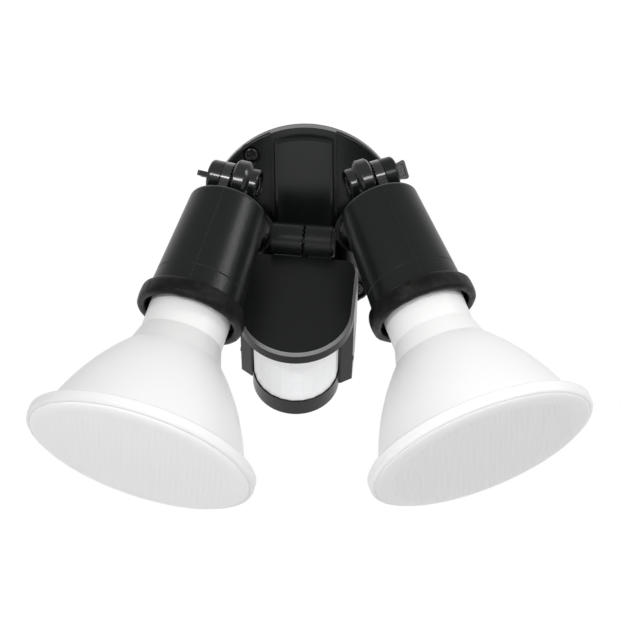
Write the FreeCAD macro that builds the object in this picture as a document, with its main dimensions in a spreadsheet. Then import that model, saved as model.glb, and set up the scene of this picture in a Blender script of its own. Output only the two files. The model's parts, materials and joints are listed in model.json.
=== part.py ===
import FreeCAD, Part
import math
import os

import Sketcher

# Motion sensor security light for a wall, in millimetres.
# Origin: centre of the round base on the wall face. +Z is up, +X is right as seen by a
# person who faces the light, and the light stands out from the wall along -Y.

Vector = FreeCAD.Vector

# Driving dimensions: name, value and what it is.
DIMENSIONS = [
    # round base
    ("rim_radius", 57.5, "outer radius of the round base"),
    ("base_wall", 2.4, "moulded wall of the base"),
    ("seal_thick", 1.0, "foam seal between base and wall"),
    ("wing_depth", 7.0, "front of the flat wings, from the wall"),
    ("band_depth", 10.0, "front of the upright band, from the wall"),
    ("band_half", 18.8, "half width of the upright band"),
    ("panel_depth", 16.0, "front of the raised keyhole panel, from the wall"),
    ("panel_half", 17.2, "half width of the keyhole panel's neck"),
    ("panel_top", 53.6, "radius of the panel's top edge about the base centre"),
    ("panel_bevel", 1.2, "bevel round the panel's front"),
    ("panel_draft", 9.0, "degrees that the panel's sides lean in"),
    ("pad_radius", 28.0, "radius of the panel's round lower end"),
    ("pad_drop", 25.0, "centre of the round lower end, below the base centre"),
    ("wing_round", 1.5, "rounded front edge of the rim"),
    # screws that hold the base on its wall plate
    ("well_across", 30.0, "screw wells, sideways from the centre"),
    ("well_up", 41.0, "screw wells, up and down from the centre"),
    ("well_radius", 5.4, "radius of a screw well"),
    ("well_floor", 4.4, "floor of a screw well, from the wall"),
    ("post_radius", 7.0, "screw post inside the base"),
    ("screw_radius", 2.0, "shank of a housing screw"),
    ("screw_head", 4.0, "head radius of a housing screw"),
    ("screw_head_tall", 2.3, "head height of a housing screw"),
    ("screw_recess", 1.1, "depth of a cross recess"),
    # wall plate, grommet and terminal block
    ("plate_gap", 0.3, "gap between wall plate and rim"),
    ("plate_thick", 1.5, "steel wall plate"),
    ("fixing_across", 42.0, "wall fixing slots, sideways from the centre"),
    ("fixing_radius", 2.5, "half width of a wall fixing slot"),
    ("fixing_length", 10.0, "end to end length of a wall fixing slot"),
    ("lug_radius", 4.2, "threaded lug of the wall plate"),
    ("grommet_hole", 9.0, "hole in the wall plate for the cable grommet"),
    ("grommet_bore", 5.0, "cable bore of the grommet"),
    ("grommet_flange", 11.5, "flange radius of the grommet"),
    ("grommet_lip", 2.0, "flange thickness of the grommet"),
    ("block_wide", 27.0, "terminal block width"),
    ("block_tall", 15.0, "terminal block height"),
    ("block_deep", 10.0, "terminal block depth"),
    ("block_up", 26.0, "terminal block centre above the base centre"),
    ("terminal_pitch", 8.0, "spacing of the terminals"),
    ("terminal_radius", 1.9, "head radius of a terminal screw"),
    ("fit_gap", 0.05, "clearance of close fitting pieces"),
    # slanted bosses and hollow arms of the lamps
    ("arm_rise", 45.0, "degrees that every arm rises from the wall's normal"),
    ("arm_splay", 3.3, "degrees that the lamp arms lean outwards"),
    ("boss_across", 32.2, "centre of a lamp boss face, sideways"),
    ("boss_out", 22.3, "centre of a lamp boss face, from the wall"),
    ("boss_up", -0.7, "centre of a lamp boss face, above the base centre"),
    ("boss_radius", 15.0, "outer radius of a lamp boss"),
    ("boss_face", 3.0, "end wall of a boss"),
    ("arm_reach", 58.0, "boss face to the knuckle axis of a lamp"),
    ("stem_radius", 7.0, "lamp arm above its collar"),
    ("collar_radius", 12.5, "collar of a lamp arm"),
    ("collar_thick", 4.0, "thickness of a collar"),
    ("gland_thick", 1.5, "rubber washer under a collar"),
    ("thread_radius", 5.0, "threaded end of every arm"),
    ("thread_length", 12.0, "threaded end inside the boss face"),
    ("wire_bore", 3.0, "wire way through every arm"),
    ("lock_nut_flats", 7.5, "half the distance across a lock nut's flats"),
    ("lock_nut_thick", 4.0, "thickness of a lock nut"),
    ("turn_gap", 0.1, "clearance of faces that turn on each other"),
    # toothed knuckle of the lamps
    ("knuckle_radius", 12.0, "largest radius of the arm's knuckle head"),
    ("knuckle_seam", 2.1, "toothed seam, outwards from the lamp axis"),
    ("tooth_height", 0.7, "height of the knuckle teeth"),
    ("tooth_root", 0.2, "how deep a tooth is rooted in its face"),
    ("tooth_gap", 0.3, "gap between the tips of facing teeth"),
    ("tooth_outer", 8.9, "outer radius of the tooth ring"),
    ("tooth_inner", 5.6, "inner radius of the tooth ring"),
    ("head_shoulder", 7.3, "inner end of the knuckle's round part, from the seam"),
    ("head_neck", 10.2, "start of the nut cup, from the seam"),
    ("head_round", 9.0, "radius of the curve from the knuckle head to its cup"),
    ("cup_end", 14.3, "open end of the nut cup, from the seam"),
    ("cup_radius", 8.8, "outer radius of the nut cup"),
    ("cup_bore", 7.1, "inner radius of the nut cup"),
    ("cup_depth", 6.0, "depth of the nut cup"),
    ("pivot_radius", 3.0, "shank of a thumb screw"),
    ("pivot_gap", 0.08, "radial clearance of a knuckle bore"),
    ("nut_flats", 5.0, "half the distance across a knuckle nut's flats"),
    ("nut_thick", 4.0, "thickness of a knuckle nut"),
    ("washer_radius", 6.3, "washer under a knuckle nut"),
    ("washer_thick", 1.2, "thickness of that washer"),
    ("ear_radius", 9.3, "radius of the holder's ear"),
    ("ear_thick", 5.0, "thickness of the holder's ear"),
    ("ear_room", 1.6, "room round the ear where the arm is cut away"),
    ("hub_radius", 9.2, "hub radius of a thumb screw"),
    ("hub_thick", 8.0, "hub thickness of a thumb screw"),
    ("hub_round", 2.0, "rounded outer edge of a hub"),
    ("left_paddle", 65.6, "degrees that the left thumb screw is turned"),
    ("right_paddle", 24.3, "degrees that the right thumb screw is turned"),
    ("paddle_long", 6.3, "paddle of a thumb screw, along its axis"),
    ("paddle_wide", 10.6, "width of a paddle"),
    ("paddle_thick", 2.8, "thickness of a paddle"),
    ("paddle_rim", 1.3, "rim round the dished faces of a paddle"),
    ("paddle_dish", 0.6, "depth of those dished faces"),
    # aim of the lamps in the stored pose, in degrees
    ("left_yaw", 22.8, "left lamp, outwards"),
    ("right_yaw", 26.0, "right lamp, outwards"),
    ("lamp_down", 42.0, "both lamps, below level"),
    # lamp holders, distances from the knuckle axis along the lamp axis
    ("holder_back", 15.5, "back face of a holder"),
    ("holder_mouth", 82.0, "mouth of a holder"),
    ("back_radius", 21.7, "holder radius behind its rounded edge"),
    ("mouth_radius", 25.75, "holder radius at its mouth"),
    ("back_round", 3.2, "rounded back edge of a holder"),
    ("holder_wall", 2.2, "wall of a holder"),
    ("line_place", 67.0, "moulding line round a holder"),
    ("line_depth", 0.35, "depth and half width of that line"),
    ("grip_length", 19.0, "length of the ribbed flat beside a holder's back"),
    ("grip_depth", 2.0, "depth of that flat at the back edge"),
    ("grip_rib", 0.45, "height and width of its ribs"),
    ("grip_pitch", 1.7, "spacing of its ribs"),
    ("ridge_high", 0.18, "height of a holder's mould ridge"),
    ("ridge_wide", 0.5, "width of a mould ridge"),
    ("gasket_start", 77.0, "back end of the mouth gasket"),
    ("gasket_radius", 29.4, "outer radius of the mouth gasket"),
    ("gasket_end", 88.0, "front end of the mouth gasket"),
    ("lip_radius", 24.2, "inner radius of the mouth gasket's lip"),
    ("gasket_round", 3.2, "rounded back edge of the mouth gasket"),
    # socket
    ("socket_radius", 17.0, "socket body radius"),
    ("socket_floor", 5.5, "socket floor thickness"),
    ("socket_long", 34.0, "socket body length"),
    ("socket_bore", 14.05, "socket bore radius"),
    ("sleeve_thick", 0.5, "contact sleeve of a socket"),
    ("sleeve_long", 22.0, "length of that sleeve"),
    ("socket_screw_place", 9.0, "socket screws, sideways from the axis"),
    ("socket_screw", 1.5, "shank radius of a socket screw"),
    ("socket_screw_head", 2.9, "head radius of a socket screw"),
    ("socket_screw_tall", 2.0, "head height of a socket screw"),
    ("socket_screw_grip", 1.6, "length of a socket screw in the holder"),
    ("tongue_wide", 5.0, "width of the socket's contact tongue"),
    ("tongue_half", 4.5, "half length of that tongue's foot"),
    ("tongue_thick", 0.6, "thickness of that tongue"),
    ("tongue_gap", 0.2, "gap from that tongue to the lamp's end contact"),
    # reflector lamp, the bowl's distances measured back from the front of its rim
    ("lamp_reach", 39.1, "knuckle axis to the lamp's end contact"),
    ("lamp_radius", 60.75, "radius of the reflector lamp"),
    ("lamp_rim", 5.5, "height of the rim band"),
    ("bowl_edge", 54.0, "bowl radius behind the rim band"),
    ("bowl_curve", 128.0, "radius of the bowl's curved wall"),
    ("collar_front", 58.3, "front end of the lamp collar"),
    ("collar_back", 68.8, "back end of the lamp collar"),
    ("collar_wide", 25.3, "front radius of the lamp collar"),
    ("neck_radius", 22.05, "radius of the lamp neck"),
    ("neck_back", 36.0, "back end of the neck's straight part, from the end contact"),
    ("neck_foot", 26.0, "back end of the neck's taper, from the end contact"),
    ("cap_radius", 13.2, "radius of the screw cap"),
    ("cap_back", 5.0, "back end of the screw cap, from the end contact"),
    ("lamp_length", 130.0, "front of the rim to the end contact"),
    ("lamp_wall", 1.8, "wall of the lamp's shells"),
    ("lens_edge", 58.6, "radius of the front lens"),
    ("lens_margin", 8.1, "width of the front lens's smooth, rounded margin"),
    ("lens_fall", 3.2, "how far that margin falls to its edge"),
    ("lens_round", 12.0, "radius of the margin's curve"),
    ("lens_dome", 1.8, "height of the ribbed centre's dome"),
    ("rim_round", 1.8, "rounded front edge of the rim band"),
    ("lens_setback", 1.0, "edge of the front lens behind the rim front"),
    # sensor arm and knuckle
    ("sensor_boss_out", 27.1, "centre of the sensor boss face, from the wall"),
    ("sensor_boss_up", -23.0, "centre of the sensor boss face, above the base centre"),
    ("sensor_boss_radius", 11.5, "outer radius of the sensor boss"),
    ("sensor_reach", 37.4, "boss face to the sensor's knuckle axis"),
    ("sensor_stem", 6.5, "radius of the sensor arm"),
    ("sensor_collar", 9.5, "collar of the sensor arm"),
    ("hinge_radius", 9.0, "radius of the sensor knuckle"),
    ("hinge_half", 17.5, "half width of the sensor knuckle"),
    ("hinge_bolt", 2.5, "shank of the sensor knuckle's bolt"),
    ("hinge_head", 4.8, "head radius of that bolt"),
    ("hinge_nut", 8.4, "round nut of the sensor knuckle"),
    ("hinge_nut_thick", 1.8, "thickness of that nut"),
    ("hinge_tooth_outer", 8.7, "outer radius of the sensor knuckle's teeth"),
    ("sensor_pitch", 33.8, "degrees that the sensor head looks down"),
    ("sensor_pan", 6.0, "degrees that the sensor head is turned to the left"),
    # sensor head, in its own frame: knuckle axis on X, lens axis along Z
    ("head_forward", 45.0, "knuckle axis to the lens axis"),
    ("hood_top", 4.0, "top of the hood below the knuckle axis"),
    ("hood_thick", 7.6, "height of the hood"),
    ("hood_half", 31.75, "half width of the hood and radius of its front"),
    ("hood_back", 7.5, "back edge of the hood, forward of the knuckle axis"),
    ("hood_corner", 9.0, "rounded back corners of the hood"),
    ("hood_bevel", 1.6, "bevel round the hood's top"),
    ("cheek_set", 4.0, "outer front corner of the body behind the lens axis"),
    ("cheek_in", 6.2, "width of a cheek beside the lens"),
    ("body_back", 13.0, "back of the body, forward of the knuckle axis"),
    ("body_slope", 7.0, "how far the back's lower end is drawn in"),
    ("body_bend", 22.0, "height of the slanted lower back"),
    ("body_wall", 2.0, "wall of the sensor body"),
    ("sensor_tall", 67.0, "top of the hood to the underside"),
    ("tab_out", 0.5, "height of the latch tabs beside the cheeks"),
    ("tab_wide", 2.4, "width of those tabs"),
    ("tab_up", 17.0, "height of the tabs above the underside"),
    ("lens_radius", 23.8, "radius of the sensor lens"),
    ("lens_facets", 12.0, "upright facets of the sensor lens"),
    ("lens_skin", 1.2, "wall of the sensor lens"),
    ("ring_radius", 24.6, "radius of the lens ring"),
    ("ring_tall", 13.0, "height of the lens ring"),
    ("web_thick", 12.0, "width of the web between the hood and its ear"),
    ("web_tall", 6.0, "height of that web"),
    ("board_wide", 42.0, "circuit board width"),
    ("board_tall", 40.0, "circuit board height"),
    ("board_thick", 1.6, "circuit board thickness"),
    ("board_behind", 10.0, "front of the board behind the lens axis"),
    ("detector_radius", 4.6, "detector can radius"),
    ("detector_tall", 4.2, "detector can height"),
    ("relay_wide", 18.0, "relay width"),
    ("relay_tall", 14.0, "relay height"),
    ("relay_deep", 9.0, "relay depth"),
    ("knob_radius", 4.0, "radius of an adjusting knob"),
    ("knob_tall", 3.4, "height of an adjusting knob"),
    ("knob_pitch", 14.0, "spacing of the adjusting knobs"),
    ("knob_place", 30.0, "adjusting knobs, forward of the knuckle axis"),
    ("knob_gap", 0.3, "clearance round an adjusting knob"),
]

LAMP_SIDES = (("left", -1), ("right", 1))
KNUCKLE_TEETH = 24
HINGE_TEETH = 18
TOOTH_SHARE = 0.8
GRIP_RIBS = 4
TERMINALS = 3

doc = FreeCAD.newDocument("security_light")
sheet = doc.addObject("Spreadsheet::Sheet", "sizes")


class Size:
    """A number that keeps the sheet formula it comes from."""

    def __init__(self, number, formula):
        self.number = float(number)
        self.formula = formula

    def __float__(self):
        return self.number

    def __neg__(self):
        return Size(-self.number, f"-({self.formula})")

    def __add__(self, other):
        return join(self, other, "+", self.number + float(other))

    def __sub__(self, other):
        return join(self, other, "-", self.number - float(other))

    def __mul__(self, other):
        return join(self, other, "*", self.number * float(other))

    def __truediv__(self, other):
        return join(self, other, "/", self.number / float(other))

    def __radd__(self, other):
        return join(other, self, "+", float(other) + self.number)

    def __rsub__(self, other):
        return join(other, self, "-", float(other) - self.number)

    def __rmul__(self, other):
        return join(other, self, "*", float(other) * self.number)


def text_of(value):
    return value.formula if isinstance(value, Size) else repr(float(value))


def join(first, second, sign, number):
    return Size(number, f"({text_of(first)} {sign} {text_of(second)})")


def root(value):
    return Size(math.sqrt(float(value)), f"sqrt({text_of(value)})")


class Sizes:
    """The sheet's cells by name, such as s.rim_radius."""


def fill_sheet():
    cells = Sizes()
    for row, (name, value, meaning) in enumerate(DIMENSIONS, start=1):
        sheet.set(f"A{row}", name)
        sheet.set(f"B{row}", str(value))
        sheet.set(f"C{row}", meaning)
        sheet.setAlias(f"B{row}", name)
        setattr(cells, name, Size(value, f"sizes.{name}"))
    doc.recompute()
    return cells


s = fill_sheet()


# ---------------------------------------------------------------- drawing helpers

def bind(thing, field, value):
    """Give a property its number, and its formula where it has one."""
    if "." not in field:
        setattr(thing, field, float(value))
    if isinstance(value, Size):
        thing.setExpression(field, value.formula)


def new_body(label):
    body = doc.addObject("PartDesign::Body", label)
    body.Label = label
    return body


def origin_plane(body, role):
    return next(item for item in body.Origin.OriginFeatures if item.Role == role)


def new_sketch(body, role, offset=0):
    sketch = body.newObject("Sketcher::SketchObject", f"{body.Name}_outline")
    sketch.AttachmentSupport = (origin_plane(body, role), [""])
    sketch.MapMode = "FlatFace"
    sketch.AttachmentOffset = FreeCAD.Placement(Vector(0, 0, float(offset)), FreeCAD.Rotation())
    bind(sketch, ".AttachmentOffset.Base.z", offset)
    return sketch


def name_last(sketch, index, label, value):
    sketch.renameConstraint(index, label)
    if isinstance(value, Size):
        sketch.setExpression(f"Constraints.{label}", value.formula)


def add_ring(sketch, x, y, radius):
    """A circle with its centre at x, y."""
    centre = Vector(float(x), float(y), 0)
    index = sketch.addGeometry(Part.Circle(centre, Vector(0, 0, 1), float(radius)), False)
    rules = (("DistanceX", x), ("DistanceY", y))
    for kind, value in rules:
        rule = sketch.addConstraint(
            Sketcher.Constraint(kind, -1, 1, index, 3, float(value)))
        name_last(sketch, rule, f"{kind[-1].lower()}c{index}", value)
    rule = sketch.addConstraint(Sketcher.Constraint("Radius", index, float(radius)))
    name_last(sketch, rule, f"r{index}", radius)


def arc_middle(first, last, radius, side):
    """The middle point of a short arc that bulges to the left (1) or right (-1)."""
    chord = last - first
    half = chord.Length / 2
    rise = radius - math.sqrt(max(radius * radius - half * half, 0))
    left = Vector(-chord.y, chord.x, 0).normalize()
    return (first + last) * 0.5 + left * (rise * side)


def add_outline(sketch, corners):
    """A closed outline. A corner is (x, y), or (x, y, radius, side) where an arc ends."""
    first_index = sketch.GeometryCount
    count = len(corners)
    spots = [Vector(float(c[0]), float(c[1]), 0) for c in corners]
    heads = []
    for place in range(count):
        begin = spots[place]
        end = spots[(place + 1) % count]
        target = corners[(place + 1) % count]
        if len(target) == 4:
            middle = arc_middle(begin, end, float(target[2]), target[3])
            ends = (end, begin) if target[3] > 0 else (begin, end)
            index = sketch.addGeometry(Part.Arc(ends[0], middle, ends[1]), False)
        else:
            index = sketch.addGeometry(Part.LineSegment(begin, end), False)
        edge = sketch.Geometry[index]
        start = edge.StartPoint
        heads.append(1 if (start - begin).Length < (start - end).Length else 2)
    for place in range(count):
        after = (place + 1) % count
        sketch.addConstraint(Sketcher.Constraint(
            "Coincident", first_index + place, 3 - heads[place],
            first_index + after, heads[after]))
    for place, corner in enumerate(corners):
        for kind, value in (("DistanceX", corner[0]), ("DistanceY", corner[1])):
            rule = sketch.addConstraint(Sketcher.Constraint(
                kind, -1, 1, first_index + place, heads[place], float(value)))
            name_last(sketch, rule, f"{kind[-1].lower()}{first_index + place}", value)
        if len(corner) == 4:
            edge = first_index + (place - 1) % count
            rule = sketch.addConstraint(
                Sketcher.Constraint("Radius", edge, float(corner[2])))
            name_last(sketch, rule, f"r{edge}", corner[2])


def extrude(body, kind, sketch, length, backwards=False):
    feature = body.newObject(f"PartDesign::{kind}", f"{body.Name}_{kind.lower()}")
    feature.Profile = sketch
    bind(feature, "Length", length)
    feature.Reversed = backwards
    sketch.Visibility = False
    doc.recompute()
    return feature


def pad(body, sketch, length, backwards=False):
    return extrude(body, "Pad", sketch, length, backwards)


def pocket(body, sketch, length, backwards=False):
    return extrude(body, "Pocket", sketch, length, backwards)


def ring_sketch(body, role, radius, x=0, y=0, offset=0):
    sketch = new_sketch(body, role, offset)
    add_ring(sketch, x, y, radius)
    return sketch


def outline_sketch(body, role, corners, offset=0):
    sketch = new_sketch(body, role, offset)
    add_outline(sketch, corners)
    return sketch


def turned(body, corners, kind="Revolution", role="XZ_Plane", axis="V_Axis"):
    """Turn an outline of (radius, height) corners about the frame's Z axis."""
    sketch = outline_sketch(body, role, corners)
    feature = body.newObject(f"PartDesign::{kind}", f"{body.Name}_{kind.lower()}")
    feature.Profile = sketch
    feature.ReferenceAxis = (sketch, [axis])
    feature.Angle = 360
    doc.recompute()
    return feature


def turned_on_x(body, corners, kind="Revolution"):
    """Turn an outline of (x, radius) corners about the frame's X axis."""
    return turned(body, corners, kind, "XY_Plane", "H_Axis")


def primitive(body, kind, fields, at, rotation):
    feature = body.newObject(f"PartDesign::{kind}", f"{body.Name}_{kind.lower()}")
    for field, value in fields:
        bind(feature, field, value)
    feature.Placement = FreeCAD.Placement(Vector(*[float(c) for c in at]), rotation)
    for letter, value in zip("xyz", at):
        bind(feature, f".Placement.Base.{letter}", value)
    doc.recompute()
    return feature


def rod(body, radius, length, at, direction, cut=False):
    """A round rod or bore that starts at a point and runs along a direction."""
    kind = "SubtractiveCylinder" if cut else "AdditiveCylinder"
    rotation = FreeCAD.Rotation(Vector(0, 0, 1), direction)
    return primitive(body, kind, (("Radius", radius), ("Height", length)), at, rotation)


def slab(body, size, at, rotation=FreeCAD.Rotation(), cut=False):
    """A box that starts at its low corner."""
    kind = "SubtractiveBox" if cut else "AdditiveBox"
    fields = tuple(zip(("Length", "Width", "Height"), size))
    return primitive(body, kind, fields, at, rotation)


def hexagon(body, half_flats, length, x_start):
    """A hexagonal prism about the frame's X axis."""
    corner = half_flats * (2 / math.sqrt(3))
    sketch = new_sketch(body, "YZ_Plane", x_start)
    points = [(corner, 0), (corner / 2, half_flats), (-corner / 2, half_flats),
              (-corner, 0), (-corner / 2, -half_flats), (corner / 2, -half_flats)]
    add_outline(sketch, points)
    return pad(body, sketch, length)


def face_of(shape, axis, level):
    """Name of the flat face square to an axis at a level."""
    for number, face in enumerate(shape.Faces, start=1):
        box = face.BoundBox
        low, high = (getattr(box, axis + "Min"), getattr(box, axis + "Max"))
        if abs(low - float(level)) < 1e-4 and abs(high - float(level)) < 1e-4:
            return f"Face{number}"
    raise ValueError(f"no face at {axis} {float(level)}")


def dress(body, kind, base, names, size):
    """A fillet or chamfer on named faces or edges."""
    feature = body.newObject(f"PartDesign::{kind}", f"{body.Name}_{kind.lower()}")
    feature.Base = (base, names)
    bind(feature, "Radius" if kind == "Fillet" else "Size", size)
    doc.recompute()
    return feature


def repeat_about_x(body, feature, count):
    pattern = body.newObject("PartDesign::PolarPattern", f"{body.Name}_pattern")
    pattern.Originals = [feature]
    pattern.Axis = (origin_axis(body, "X_Axis"), [""])
    pattern.Angle = 360
    pattern.Occurrences = count
    body.Tip = pattern
    doc.recompute()
    return pattern


def origin_axis(body, role):
    return next(item for item in body.Origin.OriginFeatures if item.Role == role)


def tooth_ring(body, face_x, inner, outer, count, outward):
    """Radial teeth on a knuckle face. They point along X, out (1) or in (-1)."""
    half = float(outer) * math.tan(math.pi / count) * TOOTH_SHARE
    tip = face_x + s.tooth_height * outward
    root_x = face_x - s.tooth_root * outward
    sketch = outline_sketch(body, "XY_Plane", [(root_x, -half), (root_x, half), (tip, 0)],
                            inner)
    tooth = pad(body, sketch, outer - inner)
    return repeat_about_x(body, tooth, count)


def frame_at(origin, x_axis, z_axis):
    """Placement whose X and Z axes point along the given directions."""
    z_axis = Vector(z_axis).normalize()
    y_axis = z_axis.cross(x_axis).normalize()
    x_axis = y_axis.cross(z_axis)
    matrix = FreeCAD.Matrix(
        x_axis.x, y_axis.x, z_axis.x, origin.x,
        x_axis.y, y_axis.y, z_axis.y, origin.y,
        x_axis.z, y_axis.z, z_axis.z, origin.z,
        0, 0, 0, 1)
    return FreeCAD.Placement(matrix)


# ---------------------------------------------------------------- places and axes

def angle(value):
    return math.radians(float(value))


def arm_direction(side, splay):
    """Direction in which an arm leaves the base."""
    rise = angle(s.arm_rise)
    lean = angle(splay)
    return Vector(side * math.sin(lean), -math.cos(rise) * math.cos(lean),
                  math.sin(rise) * math.cos(lean))


def lamp_direction(side, yaw):
    """Direction in which a lamp shines."""
    turn = angle(yaw)
    down = angle(s.lamp_down)
    return Vector(side * math.sin(turn) * math.cos(down),
                  -math.cos(turn) * math.cos(down), -math.sin(down))


class LampPlaces:
    """Points and axes of one lamp and its arm."""

    def __init__(self, name, side):
        yaw = s.left_yaw if side < 0 else s.right_yaw
        self.name = name
        self.side = side
        self.arm = arm_direction(side, s.arm_splay)
        self.aim = lamp_direction(side, yaw)
        self.boss = Vector(side * float(s.boss_across), -float(s.boss_out),
                           float(s.boss_up))
        self.pivot = self.boss + self.arm * float(s.arm_reach)
        axis = self.aim.cross(self.arm).normalize()
        self.axis = axis if axis.x * side > 0 else -axis
        self.arm_frame = frame_at(self.pivot, self.axis, self.arm)
        self.lamp_frame = frame_at(self.pivot, self.axis, self.aim)


LAMPS = [LampPlaces(name, side) for name, side in LAMP_SIDES]
SENSOR_ARM = arm_direction(0, 0)
SENSOR_BOSS = Vector(0, -float(s.sensor_boss_out), float(s.sensor_boss_up))
SENSOR_PIVOT = SENSOR_BOSS + SENSOR_ARM * float(s.sensor_reach)
SENSOR_PAN_TURN = FreeCAD.Rotation(SENSOR_ARM, -float(s.sensor_pan))
SENSOR_PITCH_TURN = FreeCAD.Rotation(Vector(1, 0, 0), float(s.sensor_pitch))
SENSOR_ARM_FRAME = FreeCAD.Placement(
    SENSOR_PIVOT,
    SENSOR_PAN_TURN.multiply(frame_at(Vector(), Vector(1, 0, 0), SENSOR_ARM).Rotation))
SENSOR_HEAD_FRAME = FreeCAD.Placement(
    SENSOR_PIVOT, SENSOR_PAN_TURN.multiply(SENSOR_PITCH_TURN))

OUT = Vector(0, -1, 0)
DOWN = Vector(0, 0, -1)
UP = Vector(0, 0, 1)
ALONG_X = Vector(1, 0, 0)

WELLS = ((-s.well_across, s.well_up), (s.well_across, -s.well_up))


# ---------------------------------------------------------------- base

def keyhole(inset):
    """Outline of the raised panel: an upright neck above a round lower end."""
    half = s.panel_half - inset
    top = s.panel_top - inset
    pad_r = s.pad_radius - inset
    shoulder = root(top * top - half * half)
    waist = root(pad_r * pad_r - half * half) - s.pad_drop
    return [
        (-half, shoulder),
        (-half, waist),
        (-pad_r, -s.pad_drop, pad_r, -1),
        (0, -s.pad_drop - pad_r, pad_r, -1),
        (pad_r, -s.pad_drop, pad_r, -1),
        (half, waist, pad_r, -1),
        (half, shoulder),
        (0, top, top, -1),
    ]


def closed_arc(corners, radius, side):
    """Make the outline's closing edge an arc."""
    first = corners[0]
    return [(first[0], first[1], radius, side)] + corners[1:]


def keyhole_sketch(body, inset, start):
    corners = closed_arc(keyhole(inset), s.panel_top - inset, -1)
    return outline_sketch(body, "XZ_Plane", corners, start)


def band_sketch(body):
    rise = root(s.rim_radius * s.rim_radius - s.band_half * s.band_half)
    corners = [
        (-s.band_half, rise, s.rim_radius, -1),
        (-s.band_half, -rise),
        (0, -s.rim_radius, s.rim_radius, -1),
        (s.band_half, -rise, s.rim_radius, -1),
        (s.band_half, rise),
        (0, s.rim_radius, s.rim_radius, -1),
    ]
    return outline_sketch(body, "XZ_Plane", corners, s.seal_thick)


def base_housing():
    """Moulded housing: wings, band, keyhole panel, slanted bosses and screw wells."""
    body = new_body("base_housing")
    disc = pad(body, ring_sketch(body, "XZ_Plane", s.rim_radius, offset=s.seal_thick),
               s.wing_depth - s.seal_thick)
    front = face_of(disc.Shape, "Y", -s.wing_depth)
    dress(body, "Fillet", disc, [front], s.wing_round)
    pad(body, band_sketch(body), s.band_depth - s.seal_thick)
    root_depth = s.band_depth - 0.5
    panel = pad(body, keyhole_sketch(body, 0, root_depth), s.panel_depth - root_depth)
    bind(panel, "TaperAngle", -s.panel_draft)
    doc.recompute()
    front = face_of(panel.Shape, "Y", -s.panel_depth)
    dress(body, "Chamfer", panel, [front], s.panel_bevel)
    for lamp in LAMPS:
        rod(body, s.boss_radius, s.boss_radius * 2.6, lamp.boss, -lamp.arm)
    rod(body, s.sensor_boss_radius, s.sensor_boss_radius * 2.6, SENSOR_BOSS, -SENSOR_ARM)
    back = ring_sketch(body, "XZ_Plane", s.rim_radius * 2, offset=s.seal_thick)
    pocket(body, back, s.rim_radius * 2)
    hollow = ring_sketch(body, "XZ_Plane", s.rim_radius - s.base_wall,
                         offset=s.seal_thick)
    pocket(body, hollow, s.wing_depth - s.base_wall - s.seal_thick, backwards=True)
    pocket(body, keyhole_sketch(body, s.base_wall + 1.0, s.seal_thick),
           s.panel_depth - s.base_wall - s.seal_thick, backwards=True)
    for lamp in LAMPS:
        inner = lamp.boss - lamp.arm * float(s.boss_face)
        rod(body, s.boss_radius - s.base_wall, s.boss_radius * 2.6, inner, -lamp.arm,
            cut=True)
        rod(body, s.thread_radius + s.turn_gap, s.boss_face * 4,
            lamp.boss + lamp.arm, -lamp.arm, cut=True)
    inner = SENSOR_BOSS - SENSOR_ARM * float(s.boss_face)
    rod(body, s.sensor_boss_radius - s.base_wall, s.sensor_boss_radius * 2.6, inner,
        -SENSOR_ARM, cut=True)
    rod(body, s.thread_radius + s.turn_gap, s.boss_face * 4,
        SENSOR_BOSS + SENSOR_ARM, -SENSOR_ARM, cut=True)
    for x, z in WELLS:
        post_start = s.plate_thick + s.seal_thick
        post = ring_sketch(body, "XZ_Plane", s.post_radius, x, z, post_start)
        pad(body, post, s.wing_depth - s.wing_round - post_start)
        well = ring_sketch(body, "XZ_Plane", s.well_radius, x, z, s.well_floor)
        pocket(body, well, s.panel_depth, backwards=True)
        bore = ring_sketch(body, "XZ_Plane", s.screw_radius + s.turn_gap * 2, x, z)
        pocket(body, bore, s.panel_depth, backwards=True)
    return body


def slot_corners(x):
    """A sideways slot with round ends, centred at x."""
    half = s.fixing_radius
    run = s.fixing_length / 2 - half
    return [
        (x - run, half),
        (x - run - half, 0, half, -1),
        (x - run, -half, half, -1),
        (x + run, -half),
        (x + run + half, 0, half, -1),
        (x + run, half, half, -1),
    ]


def wall_plate():
    """Steel plate that is screwed to the wall and holds the housing."""
    body = new_body("wall_plate")
    radius = s.rim_radius - s.base_wall - s.plate_gap
    pad(body, ring_sketch(body, "XZ_Plane", radius), s.plate_thick)
    for x, z in WELLS:
        lug = ring_sketch(body, "XZ_Plane", s.lug_radius, x, z)
        pad(body, lug, s.plate_thick + s.seal_thick)
        bore = ring_sketch(body, "XZ_Plane", s.screw_radius + s.fit_gap, x, z)
        pocket(body, bore, s.panel_depth, backwards=True)
    pocket(body, ring_sketch(body, "XZ_Plane", s.grommet_hole), s.panel_depth,
           backwards=True)
    for x in (-s.fixing_across, s.fixing_across):
        slot = outline_sketch(body, "XZ_Plane", slot_corners(x))
        pocket(body, slot, s.panel_depth, backwards=True)
    return body


def base_seal():
    """Foam ring that is pressed between the rim and the wall."""
    body = new_body("base_seal")
    pad(body, ring_sketch(body, "XZ_Plane", s.rim_radius), s.seal_thick)
    inner = ring_sketch(body, "XZ_Plane", s.rim_radius - s.base_wall)
    pocket(body, inner, s.seal_thick, backwards=True)
    return body


def cable_grommet():
    """Rubber grommet in the middle of the wall plate."""
    body = new_body("cable_grommet")
    neck = s.grommet_hole - s.fit_gap
    pad(body, ring_sketch(body, "XZ_Plane", neck), s.plate_thick)
    flange = ring_sketch(body, "XZ_Plane", s.grommet_flange, offset=s.plate_thick)
    pad(body, flange, s.grommet_lip)
    pocket(body, ring_sketch(body, "XZ_Plane", s.grommet_bore), s.panel_depth,
           backwards=True)
    return body


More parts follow.
